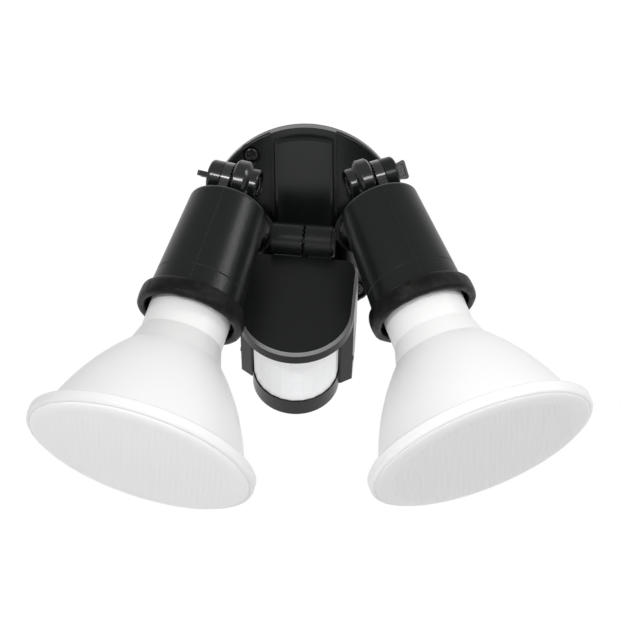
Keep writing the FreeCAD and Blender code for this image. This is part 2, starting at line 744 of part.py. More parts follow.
def housing_screws():
    """Two cross head screws, from the screw wells into the wall plate's lugs."""
    solids = []
    for x, z in WELLS:
        floor = Vector(float(x), -float(s.well_floor), float(z))
        head = Part.makeCylinder(float(s.screw_head), float(s.screw_head_tall), floor, OUT)
        head = head.makeFillet(float(s.screw_head_tall) * 0.45, [
            edge for edge in head.Edges
            if abs(edge.BoundBox.YMax + float(s.well_floor + s.screw_head_tall)) < 1e-4
            and edge.BoundBox.YLength < 1e-4])
        shank = Part.makeCylinder(float(s.screw_radius), float(s.well_floor) - 0.3, floor,
                                  -OUT)
        solids.append(head.fuse(shank).cut(cross_recess(floor, OUT, s.screw_head,
                                                        s.screw_head_tall)))
    return group("housing_screws", solids)


def cross_recess(seat, direction, head_radius, head_tall):
    """Two crossed slots in the top of a screw head."""
    length = float(head_radius) * 1.25
    width = float(head_radius) * 0.28
    depth = float(s.screw_recess)
    rotation = FreeCAD.Rotation(UP, direction)
    top = seat + direction * (float(head_tall) - depth)
    tool = None
    for turn in (0, 90):
        box = Part.makeBox(length, width, depth * 2, Vector(-length / 2, -width / 2, 0))
        box.Placement = FreeCAD.Placement(top, rotation.multiply(
            FreeCAD.Rotation(UP, turn + 45)))
        tool = box if tool is None else tool.fuse(box)
    return tool


def group(label, solids):
    """Separate identical pieces under one name."""
    feature = doc.addObject("Part::Feature", label)
    feature.Label = label
    feature.Shape = Part.makeCompound(solids)
    return feature


def terminal_places():
    start = -(TERMINALS - 1) / 2
    return [s.terminal_pitch * (start + number) for number in range(TERMINALS)]


def terminal_block():
    """Terminal block on the wall plate, with a screw hole over each clamp."""
    body = new_body("terminal_block")
    slab(body, (s.block_wide, s.block_deep, s.block_tall),
         (-s.block_wide / 2, -s.plate_thick - s.block_deep, s.block_up - s.block_tall / 2))
    for x in terminal_places():
        hole = ring_sketch(body, "XZ_Plane", s.terminal_radius + s.fit_gap, x, s.block_up,
                           s.plate_thick + s.block_deep / 2)
        pocket(body, hole, s.block_deep, backwards=True)
    return body


def terminal_screws():
    """Clamp screws of the terminal block."""
    solids = []
    seat_depth = float(s.plate_thick + s.block_deep / 2)
    tall = float(s.block_deep) / 2 - 0.8
    for x in terminal_places():
        seat = Vector(float(x), -seat_depth, float(s.block_up))
        screw = Part.makeCylinder(float(s.terminal_radius), tall, seat, OUT)
        width = float(s.terminal_radius) * 0.4
        slot = Part.makeBox(float(s.terminal_radius) * 3, width, width, Vector(
            seat.x - float(s.terminal_radius) * 1.5, seat.y - tall, seat.z - width / 2))
        solids.append(screw.cut(slot))
    return group("terminal_screws", solids)


# ---------------------------------------------------------------- arms

def arm_stem(body, stem, collar, reach, top):
    """Collar, threaded end and stem of an arm, along the frame's Z axis."""
    seat = -reach + s.gland_thick
    turned(body, [
        (0, -reach - s.thread_length),
        (s.thread_radius, -reach - s.thread_length),
        (s.thread_radius, seat),
        (collar, seat),
        (collar, seat + s.collar_thick * 0.7),
        (collar - 1.2, seat + s.collar_thick),
        (stem, seat + s.collar_thick),
        (stem, top),
        (0, top),
    ])


def wire_way(body, reach, top):
    at = (0, 0, -reach - s.thread_length - 1)
    rod(body, s.wire_bore, reach + s.thread_length + 1 + top, at, UP, cut=True)


def lamp_arm(lamp):
    """Hollow arm: threaded end, collar, stem and the toothed knuckle head."""
    body = new_body(f"{lamp.name}_arm")
    side = lamp.side
    arm_stem(body, s.stem_radius, s.collar_radius, s.arm_reach, 0)
    seam = s.knuckle_seam - s.tooth_height - s.tooth_gap / 2
    r = s.knuckle_radius
    end = s.knuckle_seam - s.cup_end
    turned_on_x(body, [
        (seam, 0),
        (seam, r - 1.0),
        (seam - 1.0, r),
        (s.knuckle_seam - s.head_shoulder, r),
        (s.knuckle_seam - s.head_neck, s.cup_radius, s.head_round, -1),
        (end + 0.6, s.cup_radius),
        (end, s.cup_radius - 0.6),
        (end, 0),
    ])
    rod(body, s.ear_radius + s.ear_room, s.knuckle_radius, (seam, 0, 0), ALONG_X, cut=True)
    wire_way(body, s.arm_reach, -s.cup_radius)
    rod(body, s.cup_bore, s.cup_depth + 1, (end - 1, 0, 0), ALONG_X, cut=True)
    rod(body, s.pivot_radius + s.pivot_gap, s.cup_end * 2, (end - 1, 0, 0), ALONG_X,
        cut=True)
    tooth_ring(body, seam, s.tooth_inner, s.tooth_outer, KNUCKLE_TEETH, 1)
    body.Placement = lamp.arm_frame
    return body


def lock_nut(label, frame, reach):
    """Hexagonal lock nut on an arm's thread, inside its boss."""
    nut_top = -reach - s.boss_face - s.turn_gap
    body = new_body(label)
    corner = s.lock_nut_flats * (2 / math.sqrt(3))
    flats = s.lock_nut_flats
    sketch = outline_sketch(body, "XY_Plane", [
        (corner, 0), (corner / 2, flats), (-corner / 2, flats),
        (-corner, 0), (-corner / 2, -flats), (corner / 2, -flats)],
        nut_top - s.lock_nut_thick)
    pad(body, sketch, s.lock_nut_thick)
    rod(body, s.thread_radius + s.fit_gap, s.lock_nut_thick * 3,
        (0, 0, nut_top - s.lock_nut_thick * 2), UP, cut=True)
    body.Placement = frame
    return body


def arm_seal(label, frame, reach, collar):
    """Rubber washer between an arm's collar and its boss."""
    body = new_body(label)
    low = -reach + s.turn_gap
    high = -reach + s.gland_thick
    inner = s.thread_radius + s.fit_gap
    outer = collar - 0.8
    turned(body, [(inner, low), (outer, low), (outer, high), (inner, high)])
    body.Placement = frame
    return body


def knuckle_nut(lamp):
    """Steel nut in the cup of the knuckle."""
    body = new_body(f"{lamp.name}_knuckle_nut")
    floor = s.knuckle_seam - s.cup_end + s.cup_depth
    start = floor - s.washer_thick - s.nut_thick
    hexagon(body, s.nut_flats, s.nut_thick, start)
    rod(body, s.pivot_radius + s.fit_gap, s.nut_thick * 2, (start - 1, 0, 0), ALONG_X,
        cut=True)
    body.Placement = lamp.arm_frame
    return body


def knuckle_washer(lamp):
    """Washer between the nut and the floor of its cup."""
    body = new_body(f"{lamp.name}_knuckle_washer")
    floor = s.knuckle_seam - s.cup_end + s.cup_depth
    inner = s.pivot_radius + s.fit_gap
    turned_on_x(body, [
        (floor - s.washer_thick, inner), (floor - s.washer_thick, s.washer_radius),
        (floor, s.washer_radius), (floor, inner)])
    body.Placement = lamp.arm_frame
    return body


def thumb_screw(lamp):
    """Thumb screw through ear and knuckle: shank, round hub and flat paddle."""
    body = new_body(f"{lamp.name}_thumb_screw")
    hub = s.knuckle_seam + s.tooth_gap / 2 + s.tooth_height + s.ear_thick + s.turn_gap
    hub_end = hub + s.hub_thick
    tip = s.knuckle_seam - s.cup_end + 0.8
    turned_on_x(body, [
        (tip, 0), (tip, s.pivot_radius), (hub, s.pivot_radius), (hub, s.hub_radius - 0.5),
        (hub + 0.5, s.hub_radius), (hub_end - s.hub_round, s.hub_radius),
        (hub_end, s.hub_radius - s.hub_round, s.hub_round, 1), (hub_end, 0)])
    half = s.paddle_wide / 2
    end = hub_end + s.paddle_long
    corner = s.paddle_wide * 0.12
    sketch = outline_sketch(body, "XY_Plane", [
        (hub_end - 1.5, -half + 1.4), (end - corner, -half),
        (end, -half + corner, corner, -1), (end, half - corner),
        (end - corner, half, corner, -1), (hub_end - 1.5, half - 1.4)],
        -s.paddle_thick / 2)
    pad(body, sketch, s.paddle_thick)
    for level, upwards in ((s.paddle_thick / 2, False), (-s.paddle_thick / 2, True)):
        dish = outline_sketch(body, "XY_Plane", [
            (hub_end + 0.6, -half + s.paddle_rim * 1.6),
            (end - s.paddle_rim, -half + s.paddle_rim * 1.6),
            (end - s.paddle_rim, half - s.paddle_rim * 1.6),
            (hub_end + 0.6, half - s.paddle_rim * 1.6)], level)
        pocket(body, dish, s.paddle_dish, backwards=upwards)
    turn = FreeCAD.Rotation(ALONG_X, float(s.left_paddle if lamp.side < 0
                                           else s.right_paddle))
    body.Placement = lamp.arm_frame.multiply(FreeCAD.Placement(Vector(), turn))
    return body


# ---------------------------------------------------------------- lamp holders

def holder_radius(place):
    """Outer radius of the tapered holder at a distance from the knuckle axis."""
    start = s.holder_back + s.back_round
    run = (place - start) / (s.holder_mouth - start)
    return s.back_radius + (s.mouth_radius - s.back_radius) * run


def holder(lamp):
    """Tapered lamp holder with its ear, moulding line and ribbed flat."""
    body = new_body(f"{lamp.name}_holder")
    back = s.holder_back
    inner_back = socket_seat()
    wall = s.holder_wall
    line = s.line_place
    notch = s.line_depth
    turned(body, [
        (0, back),
        (s.back_radius - s.back_round, back),
        (s.back_radius, back + s.back_round, s.back_round, -1),
        (holder_radius(line) - 0.02, line - notch),
        (holder_radius(line) - notch, line),
        (holder_radius(line) + 0.02, line + notch),
        (s.mouth_radius, s.holder_mouth),
        (s.mouth_radius - wall, s.holder_mouth),
        (s.back_radius - wall, inner_back),
        (0, inner_back),
    ])
    ear = s.knuckle_seam + s.tooth_gap / 2 + s.tooth_height
    rod(body, s.ear_radius, s.ear_thick, (ear, 0, 0), ALONG_X)
    slab(body, (s.ear_thick, s.ear_radius * 1.6, s.holder_back + 1.0),
         (ear, -s.ear_radius * 0.8, 0))
    rod(body, s.pivot_radius + s.pivot_gap, s.ear_thick * 3, (ear - s.ear_thick, 0, 0),
        ALONG_X, cut=True)
    ribbed_flat(body)
    mould_ridges(body)
    for place in (-s.socket_screw_place, s.socket_screw_place):
        rod(body, s.socket_screw + s.fit_gap, s.holder_wall, (0, place, inner_back), DOWN,
            cut=True)
    tooth_ring(body, ear, s.tooth_inner, s.tooth_outer, KNUCKLE_TEETH, -1)
    body.Placement = lamp.lamp_frame
    return body


def ribbed_flat(body):
    """A flat with fine ribs, cut at a slant into the holder's inner side."""
    slant = math.degrees(math.atan2(float(s.grip_depth), float(s.grip_length)))
    rotation = FreeCAD.Rotation(Vector(0, 1, 0), -slant)
    front = s.holder_back + s.back_round + s.grip_length
    deep = s.back_radius
    long = s.grip_length * 3
    edge = Vector(-float(holder_radius(front)), 0, float(front))
    shift = rotation.multVec(Vector(-float(deep), -float(deep), -float(long)))
    slab(body, (deep, deep * 2, long), tuple(edge + shift), rotation, cut=True)
    for number in range(GRIP_RIBS):
        side = s.grip_pitch * (number - (GRIP_RIBS - 1) / 2)
        run = s.grip_length - s.grip_pitch * 0.4
        low = rotation.multVec(Vector(-float(s.grip_rib), float(side - s.grip_rib / 2),
                                      -float(run)))
        slab(body, (s.grip_rib * 2, s.grip_rib, run - s.grip_pitch), tuple(edge + low),
             rotation)


def mould_ridges(body):
    """Two fine ridges along the holder, where the halves of its mould met."""
    start = s.holder_back + s.back_round
    taper = s.holder_mouth - start
    run = s.gasket_start - start
    slope = math.degrees(math.atan2(float(s.mouth_radius - s.back_radius), float(taper)))
    for turn in (90, 270):
        rotation = FreeCAD.Rotation(UP, turn).multiply(
            FreeCAD.Rotation(Vector(0, 1, 0), slope))
        spoke = FreeCAD.Rotation(UP, turn).multVec(Vector(float(s.back_radius), 0, 0))
        low = spoke + Vector(0, 0, float(start)) + rotation.multVec(
            Vector(-float(s.ridge_high), -float(s.ridge_wide) / 2, 0))
        slab(body, (s.ridge_high * 2, s.ridge_wide, run - 0.5), tuple(low), rotation)


def gasket(lamp):
    """Rubber gasket on the holder's mouth, with an open lip round the lamp's neck."""
    body = new_body(f"{lamp.name}_gasket")
    lip = s.lip_radius
    grip = s.mouth_radius + s.fit_gap
    start = s.gasket_start
    end = s.gasket_end
    outer = s.gasket_radius
    back = s.gasket_round
    turned(body, [
        (grip, start),
        (outer - back * 0.6, start),
        (outer, start + back, back, -1),
        (outer, end - 1.5),
        (outer - 1.0, end, 1.5, -1),
        (lip + 0.8, end),
        (lip, end - 0.8),
        (lip, s.holder_mouth + s.fit_gap),
        (grip, s.holder_mouth + s.fit_gap),
    ])
    body.Placement = lamp.lamp_frame
    return body


def socket_seat():
    """Inner face of the holder's back wall, where the socket sits."""
    return s.holder_back + s.holder_wall


def socket_body(lamp):
    """Moulded lamp socket on the holder's back wall."""
    body = new_body(f"{lamp.name}_socket_body")
    seat = socket_seat()
    floor = seat + s.socket_floor
    end = seat + s.socket_long
    turned(body, [
        (0, seat), (s.socket_radius - 1, seat), (s.socket_radius, seat + 1),
        (s.socket_radius, end), (s.socket_bore, end), (s.socket_bore, floor), (0, floor)])
    for place in (-s.socket_screw_place, s.socket_screw_place):
        rod(body, s.socket_screw + s.fit_gap, s.socket_floor * 2, (0, place, floor + 1),
            DOWN, cut=True)
    body.Placement = lamp.lamp_frame
    return body


def socket_sleeve(lamp):
    """Metal screw sleeve of the socket."""
    body = new_body(f"{lamp.name}_socket_sleeve")
    end = socket_seat() + s.socket_long
    outer = s.socket_bore - s.fit_gap
    inner = outer - s.sleeve_thick
    turned(body, [
        (inner, end - s.sleeve_long), (outer, end - s.sleeve_long),
        (outer, end), (inner, end)])
    body.Placement = lamp.lamp_frame
    return body


def socket_contact(lamp):
    """Spring tongue that meets the lamp's end contact."""
    body = new_body(f"{lamp.name}_socket_contact")
    floor = socket_seat() + s.socket_floor
    tip = s.lamp_reach - s.tongue_gap
    thick = s.tongue_thick
    half = s.tongue_half
    sketch = outline_sketch(body, "XZ_Plane", [
        (-half, floor), (half, floor), (half, floor + thick), (-half / 3, floor + thick),
        (half - 1, tip - thick), (half - 1, tip), (-half / 2, tip),
        (-half, floor + thick * 2)], -s.tongue_wide / 2)
    pad(body, sketch, s.tongue_wide)
    body.Placement = lamp.lamp_frame
    return body


def socket_screws(lamp):
    """Two screws through the socket floor into the holder."""
    floor = float(socket_seat() + s.socket_floor)
    solids = []
    for place in (-float(s.socket_screw_place), float(s.socket_screw_place)):
        seat = Vector(0, place, floor)
        head = Part.makeCylinder(float(s.socket_screw_head), float(s.socket_screw_tall),
                                 seat, UP)
        shank = Part.makeCylinder(float(s.socket_screw),
                                  float(s.socket_floor + s.socket_screw_grip), seat, DOWN)
        solids.append(head.fuse(shank))
    feature = group(f"{lamp.name}_socket_screws", solids)
    feature.Placement = lamp.lamp_frame
    return feature


# ---------------------------------------------------------------- reflector lamps

def from_rim(distance):
    """Place along the lamp axis of a point behind the front of the rim."""
    return s.lamp_reach + s.lamp_length - distance


def from_end(distance):
    """Place along the lamp axis of a point in front of the end contact."""
    return s.lamp_reach + distance


def lamp_contact(lamp):
    """Insulator and end contact of the screw cap."""
    body = new_body(f"{lamp.name}_lamp_contact")
    end = from_end(0)
    base = from_end(s.cap_back)
    turned(body, [
        (0, end), (3.2, end), (4.4, end + 1.2), (5.0, end + 1.8), (s.cap_radius - 3, base),
        (0, base)])
    body.Placement = lamp.lamp_frame
    return body


def lamp_cap(lamp):
    """Screw cap of the lamp."""
    body = new_body(f"{lamp.name}_lamp_cap")
    low = from_end(s.cap_back)
    high = from_end(s.neck_foot)
    r = s.cap_radius
    wall = 1.0
    turned(body, [
        (0, low), (r - 2.5, low), (r, low + 2.5), (r, high), (r - wall, high),
        (r - wall, low + 3), (0, low + 3)])
    body.Placement = lamp.lamp_frame
    return body


def lamp_neck(lamp):
    """White plastic neck between screw cap and collar."""
    body = new_body(f"{lamp.name}_lamp_neck")
    foot = from_end(s.neck_foot)
    bend = from_end(s.neck_back)
    top = from_rim(s.collar_back)
    foot_radius = s.cap_radius + 1.4
    wall = s.lamp_wall
    turned(body, [
        (0, foot), (foot_radius, foot), (s.neck_radius, bend), (s.neck_radius, top),
        (s.neck_radius - wall, top), (s.neck_radius - wall, bend + 0.6),
        (foot_radius - wall, foot + wall), (0, foot + wall)])
    body.Placement = lamp.lamp_frame
    return body


def lamp_collar(lamp):
    """Translucent flared collar between neck and bowl."""
    body = new_body(f"{lamp.name}_lamp_collar")
    low = from_rim(s.collar_back)
    high = from_rim(s.collar_front)
    wall = s.lamp_wall
    turned(body, [
        (s.neck_radius - wall, low), (s.neck_radius, low), (s.collar_wide, high),
        (s.collar_wide - wall, high)])
    body.Placement = lamp.lamp_frame
    return body


def lamp_bowl(lamp):
    """Frosted bowl with its rim band."""
    body = new_body(f"{lamp.name}_lamp_bowl")
    low = from_rim(s.collar_front)
    band = from_rim(s.lamp_rim)
    front = from_rim(0)
    wall = s.lamp_wall
    turned(body, [
        (s.collar_wide - wall, low),
        (s.collar_wide, low),
        (s.bowl_edge, band - 0.9, s.bowl_curve, -1),
        (s.lamp_radius - 0.7, band - 0.5),
        (s.lamp_radius, band + 0.3),
        (s.lamp_radius, front - s.rim_round),
        (s.lamp_radius - s.rim_round, front, s.rim_round, -1),
        (s.lens_edge + s.fit_gap, front),
        (s.lens_edge + s.fit_gap, front - s.lens_setback - wall),
        (s.bowl_edge - wall, band),
        (s.collar_wide - wall, low + 0.5, s.bowl_curve, 1),
    ])
    body.Placement = lamp.lamp_frame
    return body


def lamp_lens(lamp):
    """Front lens: a gently domed centre inside a rounded margin."""
    body = new_body(f"{lamp.name}_lamp_lens")
    outer_edge = from_rim(s.lens_setback)
    inner_edge = outer_edge - s.lamp_wall
    centre = s.lens_edge - s.lens_margin
    dome = s.lens_dome
    curve = (centre * centre + dome * dome) / (dome * 2)
    turned(body, [
        (0, inner_edge + s.lens_fall + dome),
        (centre, inner_edge + s.lens_fall, curve, 1),
        (s.lens_edge, inner_edge, s.lens_round, 1),
        (s.lens_edge, outer_edge),
        (centre, outer_edge + s.lens_fall, s.lens_round, -1),
        (0, outer_edge + s.lens_fall + dome, curve, -1),
    ])
    body.Placement = lamp.lamp_frame
    return body


# ---------------------------------------------------------------- sensor arm

def sensor_arm():
    """Arm of the sensor, with the left half of the knuckle."""
    body = new_body("sensor_arm")
    stem_top = -s.hinge_radius - 1.4
    arm_stem(body, s.sensor_stem, s.sensor_collar, s.sensor_reach, stem_top)
    half = s.hinge_half
    inner = s.tooth_gap / 2 + s.tooth_height
    rod(body, s.hinge_radius, half - inner, (-half, 0, 0), ALONG_X)
    web = s.sensor_stem
    slab(body, (half - inner - 1.2, web * 2, -stem_top + 2.5),
         (-half + 1.2, -web, stem_top - 2.5))
    wire_way(body, s.sensor_reach, -s.hinge_radius)
    rod(body, s.hinge_bolt + s.pivot_gap, half * 3, (-half * 2, 0, 0), ALONG_X, cut=True)
    rod(body, s.hinge_head + s.turn_gap * 2, 3.0 + 1.0, (-half - 1.0, 0, 0), ALONG_X,
        cut=True)
    tooth_ring(body, -inner, s.tooth_inner, s.hinge_tooth_outer, HINGE_TEETH, 1)
    body.Placement = SENSOR_ARM_FRAME
    return body


def sensor_bolt():
    """Bolt of the sensor knuckle."""
    body = new_body("sensor_bolt")
    seat = -s.hinge_half + 3.0
    end = s.hinge_half - 0.4
    turned_on_x(body, [
        (seat - 2.6, 0), (seat - 2.6, s.hinge_head - 0.6), (seat - 2.0, s.hinge_head),
        (seat, s.hinge_head), (seat, s.hinge_bolt), (end, s.hinge_bolt), (end, 0)])
    body.Placement = SENSOR_ARM_FRAME
    return body


def sensor_nut():
    """Round nut at the right end of the sensor knuckle."""
    body = new_body("sensor_nut")
    start = s.hinge_half - s.hinge_nut_thick
    inner = s.hinge_bolt + s.fit_gap
    turned_on_x(body, [
        (start, inner), (start, s.hinge_nut), (s.hinge_half - 0.5, s.hinge_nut),
        (s.hinge_half, s.hinge_nut - 0.5), (s.hinge_half, inner)])
    body.Placement = SENSOR_ARM_FRAME
    return body


# ---------------------------------------------------------------- sensor head

def hood_corners(inset):
    """Outline of the hood, seen from above: round front and rounded back corners."""
    half = s.hood_half - inset
    back = -s.hood_back - inset
    corner = s.hood_corner - inset
    centre = -s.head_forward
    return [
        (-half, centre),
        (0, centre - half, half, -1),
        (half, centre, half, -1),
        (half, back - corner),
        (half - corner, back, corner, -1),
        (-half + corner, back),
        (-half, back - corner, corner, -1),
    ]


def flipped(corners):
    """The same outline, run the other way round."""
    result = []
    count = len(corners)
    for place in range(count - 1, -1, -1):
        x, y = corners[place][:2]
        after = corners[(place + 1) % count]
        if len(after) == 4:
            result.append((x, y, after[2], -after[3]))
        else:
            result.append((x, y))
    return result


def hood_sketch(body, inset, offset):
    corners = flipped(hood_corners(inset))
    return outline_sketch(body, "XY_Plane", corners, offset)


def sensor_hood():
    """Top cover of the sensor head with the right half of the knuckle."""
    body = new_body("sensor_hood")
    top = -s.hood_top
    block = pad(body, hood_sketch(body, 0, top - s.hood_thick), s.hood_thick)
    dress(body, "Chamfer", block, [face_of(block.Shape, "Z", top)], s.hood_bevel)
    inside = hood_sketch(body, s.body_wall, top - s.hood_thick)
    pocket(body, inside, s.hood_thick - s.body_wall, backwards=True)
    half = s.hinge_half - s.hinge_nut_thick - s.turn_gap
    inner = s.tooth_gap / 2 + s.tooth_height
    rod(body, s.hinge_radius, half - inner, (inner, 0, 0), ALONG_X)
    low_corner = (inner + 2.0, -s.hood_back - s.hood_bevel * 2, top - s.web_tall)
    slab(body, (s.web_thick, s.hood_back + s.hood_bevel * 2 - 1.0, s.web_tall), low_corner)
    rod(body, s.hinge_bolt + s.pivot_gap, s.hinge_half * 3, (-s.hinge_half, 0, 0), ALONG_X,
        cut=True)
    tooth_ring(body, inner, s.tooth_inner, s.hinge_tooth_outer, HINGE_TEETH, -1)
    body.Placement = SENSOR_HEAD_FRAME
    return body


def body_top():
    return -s.hood_top - s.hood_thick


def body_bottom():
    return -s.hood_top - s.sensor_tall


def body_corners(inset, front_inset):
    """Plan of the sensor body: a box with slanted cheeks beside the lens."""
    half = s.hood_half - inset
    back = -s.body_back - inset
    cheek = s.hood_half - s.cheek_in - inset
    front = -s.head_forward + front_inset
    return [
        (-half, back), (-half, front + s.cheek_set), (-cheek, front),
        (cheek, front), (half, front + s.cheek_set), (half, back)]


def sensor_body():
    """Hollow body of the sensor head, open at the top and behind the lens."""
    body = new_body("sensor_body")
    tall = body_top() - body_bottom()
    bottom = body_bottom()
    wall = s.body_wall
    pad(body, outline_sketch(body, "XY_Plane", body_corners(0, 0), bottom), tall)
    slope = outline_sketch(body, "YZ_Plane", [
        (-s.body_back + 1, bottom + s.body_bend), (-s.body_back - s.body_slope, bottom - 1),
        (-s.body_back + 1, bottom - 1)], -s.hood_half - 1)
    pocket(body, slope, s.hood_half * 2 + 2, backwards=True)
    inside = outline_sketch(body, "XY_Plane", body_corners(wall, wall), bottom + wall + 5)
    pocket(body, inside, tall, backwards=True)
    window = s.lens_radius - 1.5
    low = bottom + s.ring_tall
    opening = outline_sketch(body, "XZ_Plane", [
        (-window, low), (window, low), (window, body_top() + 1), (-window, body_top() + 1)],
        s.head_forward - wall * 2)
    pocket(body, opening, wall * 4, backwards=True)
    for number in (-1, 0, 1):
        well = ring_sketch(body, "XY_Plane", s.knob_radius + s.knob_gap,
                           s.knob_pitch * number, -s.knob_place, bottom)
        pocket(body, well, s.knob_tall + s.knob_gap, backwards=True)
    for side in (-1, 1):
        slab(body, (s.tab_out * 2, s.tab_wide, s.tab_wide / 2),
             (s.hood_half * side - s.tab_out, -s.head_forward + s.cheek_set + s.tab_out,
              bottom + s.tab_up))
    body.Placement = SENSOR_HEAD_FRAME
    return body


def half_round(radius, count):
    """Corners of a half circle with flat facets, in front of the lens axis."""
    points = []
    for number in range(count + 1):
        turn = math.pi * number / count
        points.append((radius * math.cos(turn), -s.head_forward - radius * math.sin(turn)))
    return points


def sensor_lens():
    """White lens of the sensor: a half round wall with upright facets."""
    body = new_body("sensor_lens")
    low = body_bottom() + s.ring_tall
    tall = body_top() - low
    count = int(float(s.lens_facets))
    outer = half_round(s.lens_radius, count)
    inner = half_round(s.lens_radius - s.lens_skin, count)
    sketch = outline_sketch(body, "XY_Plane", outer + inner[::-1], low)
    pad(body, sketch, tall)
    body.Placement = SENSOR_HEAD_FRAME
    return body


def sensor_ring():
    """Black half round ring below the lens."""
    body = new_body("sensor_ring")
    low = body_bottom()
    r = s.ring_radius
    centre = -s.head_forward
    sketch = outline_sketch(body, "XY_Plane", [
        (-r, centre), (0, centre - r, r, -1), (r, centre, r, -1)], low)
    block = pad(body, sketch, s.ring_tall)
    dress(body, "Chamfer", block, [face_of(block.Shape, "Z", low)], 0.8)
    body.Placement = SENSOR_HEAD_FRAME
    return body


def sensor_board():
    """Circuit board across the body, behind the lens."""
    body = new_body("sensor_board")
    bottom = body_bottom() + s.body_wall + 5 + s.fit_gap
    slab(body, (s.board_wide, s.board_thick, s.board_tall),
         (-s.board_wide / 2, -s.head_forward + s.board_behind, bottom))
    body.Placement = SENSOR_HEAD_FRAME
    return body


def sensor_detector():
    """Round detector can on the front of the board."""
    body = new_body("sensor_detector")
    height = body_bottom() + s.ring_tall + s.board_tall * 0.45
    at = (0, -s.head_forward + s.board_behind, height)
    rod(body, s.detector_radius, s.detector_tall, at, OUT)
    body.Placement = SENSOR_HEAD_FRAME
    return body


def sensor_relay():
    """Relay on the back of the board."""
    body = new_body("sensor_relay")
    low = body_bottom() + s.ring_tall + s.body_bend * 0.6
    slab(body, (s.relay_wide, s.relay_deep, s.relay_tall),
         (-s.relay_wide / 2, -s.head_forward + s.board_behind + s.board_thick, low))
    body.Placement = SENSOR_HEAD_FRAME
    return body


def adjusting_knob(label, number):
    """Small slotted knob on the underside of the sensor body."""
    body = new_body(label)
    low = body_bottom()
    centre = (s.knob_pitch * number, -s.knob_place)
    sketch = ring_sketch(body, "XY_Plane", s.knob_radius, centre[0], centre[1], low)
    pad(body, sketch, s.knob_tall)
    width = 1.2
    slab(body, (s.knob_radius * 1.5, width, 1.4),
         (centre[0] - s.knob_radius * 0.75, centre[1] - width / 2, low), cut=True)
    body.Placement = SENSOR_HEAD_FRAME
    return body


# ---------------------------------------------------------------- assembly and files

def build_all():
    pieces = [base_housing(), wall_plate(), base_seal(), cable_grommet(), housing_screws(),
              terminal_block(), terminal_screws()]
    for lamp in LAMPS:
        pieces += [
            lamp_arm(lamp),
            lock_nut(f"{lamp.name}_lock_nut", lamp.arm_frame, s.arm_reach),
            arm_seal(f"{lamp.name}_arm_seal", lamp.arm_frame, s.arm_reach,
                     s.collar_radius),
            knuckle_nut(lamp), knuckle_washer(lamp), thumb_screw(lamp),
            holder(lamp), gasket(lamp), socket_body(lamp), socket_sleeve(lamp),
            socket_contact(lamp), socket_screws(lamp), lamp_contact(lamp),
            lamp_cap(lamp), lamp_neck(lamp), lamp_collar(lamp), lamp_bowl(lamp),
            lamp_lens(lamp)]
    pieces += [
        sensor_arm(),
        lock_nut("sensor_lock_nut", SENSOR_ARM_FRAME, s.sensor_reach),
        arm_seal("sensor_seal", SENSOR_ARM_FRAME, s.sensor_reach, s.sensor_collar),
        sensor_bolt(), sensor_nut(), sensor_hood(), sensor_body(), sensor_lens(),
        sensor_ring(), sensor_board(), sensor_detector(), sensor_relay(),
        adjusting_knob("time_knob", -1), adjusting_knob("light_knob", 0),
        adjusting_knob("range_knob", 1)]
    return pieces


def check(pieces):
    for thing in doc.Objects:
        for state in ("Invalid", "Error"):
            if state in thing.State:
                raise RuntimeError(f"{thing.Label} is {state}")
    for piece in pieces:
        if piece.Shape.isNull() or not piece.Shape.isValid():
            raise RuntimeError(f"{piece.Label} has no valid shape")


def write_files(pieces):
    os.makedirs("parts", exist_ok=True)
    for piece in pieces:
        piece.Shape.exportStep(f"parts/{piece.Label}.step")
        print(piece.Label, len(piece.Shape.Solids), round(piece.Shape.Volume, 1))
    print("files", len(pieces))
    for lamp in LAMPS:
        print(lamp.name, "knuckle", lamp.pivot, "axis", lamp.axis, "arm", lamp.arm,
              "aim", lamp.aim)
    print("sensor knuckle", SENSOR_PIVOT, "axis",
          SENSOR_ARM_FRAME.Rotation.multVec(ALONG_X), "arm", SENSOR_ARM,
          "lens axis", SENSOR_HEAD_FRAME.Rotation.multVec(UP))


all_pieces = build_all()
doc.recompute()
check(all_pieces)
write_files(all_pieces)
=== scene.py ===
# %% [markdown]
# # A wall light with a motion sensor
# The light has a round black base, two swivelling lamp holders with white reflector
# lamps, and a sensor head on its own knuckle. Its solids come ready made and placed, so
# this lesson gives them their finishes, adds the fine moulded details, and sets up a
# small photo studio round them. Everything is in metres.

# %% Load the solids
import json
import math

import bpy
from mathutils import Matrix, Vector


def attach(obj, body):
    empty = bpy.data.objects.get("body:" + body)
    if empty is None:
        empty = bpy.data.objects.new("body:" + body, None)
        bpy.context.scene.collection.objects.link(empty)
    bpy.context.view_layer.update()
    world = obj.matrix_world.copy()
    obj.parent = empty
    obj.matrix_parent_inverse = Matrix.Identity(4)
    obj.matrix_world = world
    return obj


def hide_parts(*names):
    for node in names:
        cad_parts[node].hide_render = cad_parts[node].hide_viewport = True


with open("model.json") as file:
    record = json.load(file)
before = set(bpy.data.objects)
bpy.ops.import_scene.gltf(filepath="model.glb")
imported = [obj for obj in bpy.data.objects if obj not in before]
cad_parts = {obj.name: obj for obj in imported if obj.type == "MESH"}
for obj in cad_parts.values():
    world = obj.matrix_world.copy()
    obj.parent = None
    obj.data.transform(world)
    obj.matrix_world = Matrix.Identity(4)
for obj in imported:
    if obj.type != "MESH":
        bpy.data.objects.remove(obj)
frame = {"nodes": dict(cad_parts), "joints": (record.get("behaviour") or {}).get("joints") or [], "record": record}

NODES = frame["nodes"]
RECORD = frame["record"]
JOINTS = {joint["name"]: joint for joint in frame["joints"]}
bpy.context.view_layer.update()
MM = 0.001

# %% [markdown]
# Each lamp's own axis and knuckle point come from its joints. Patterns such as the
# lens's fine ribs follow that axis, so they are read once here and used everywhere.

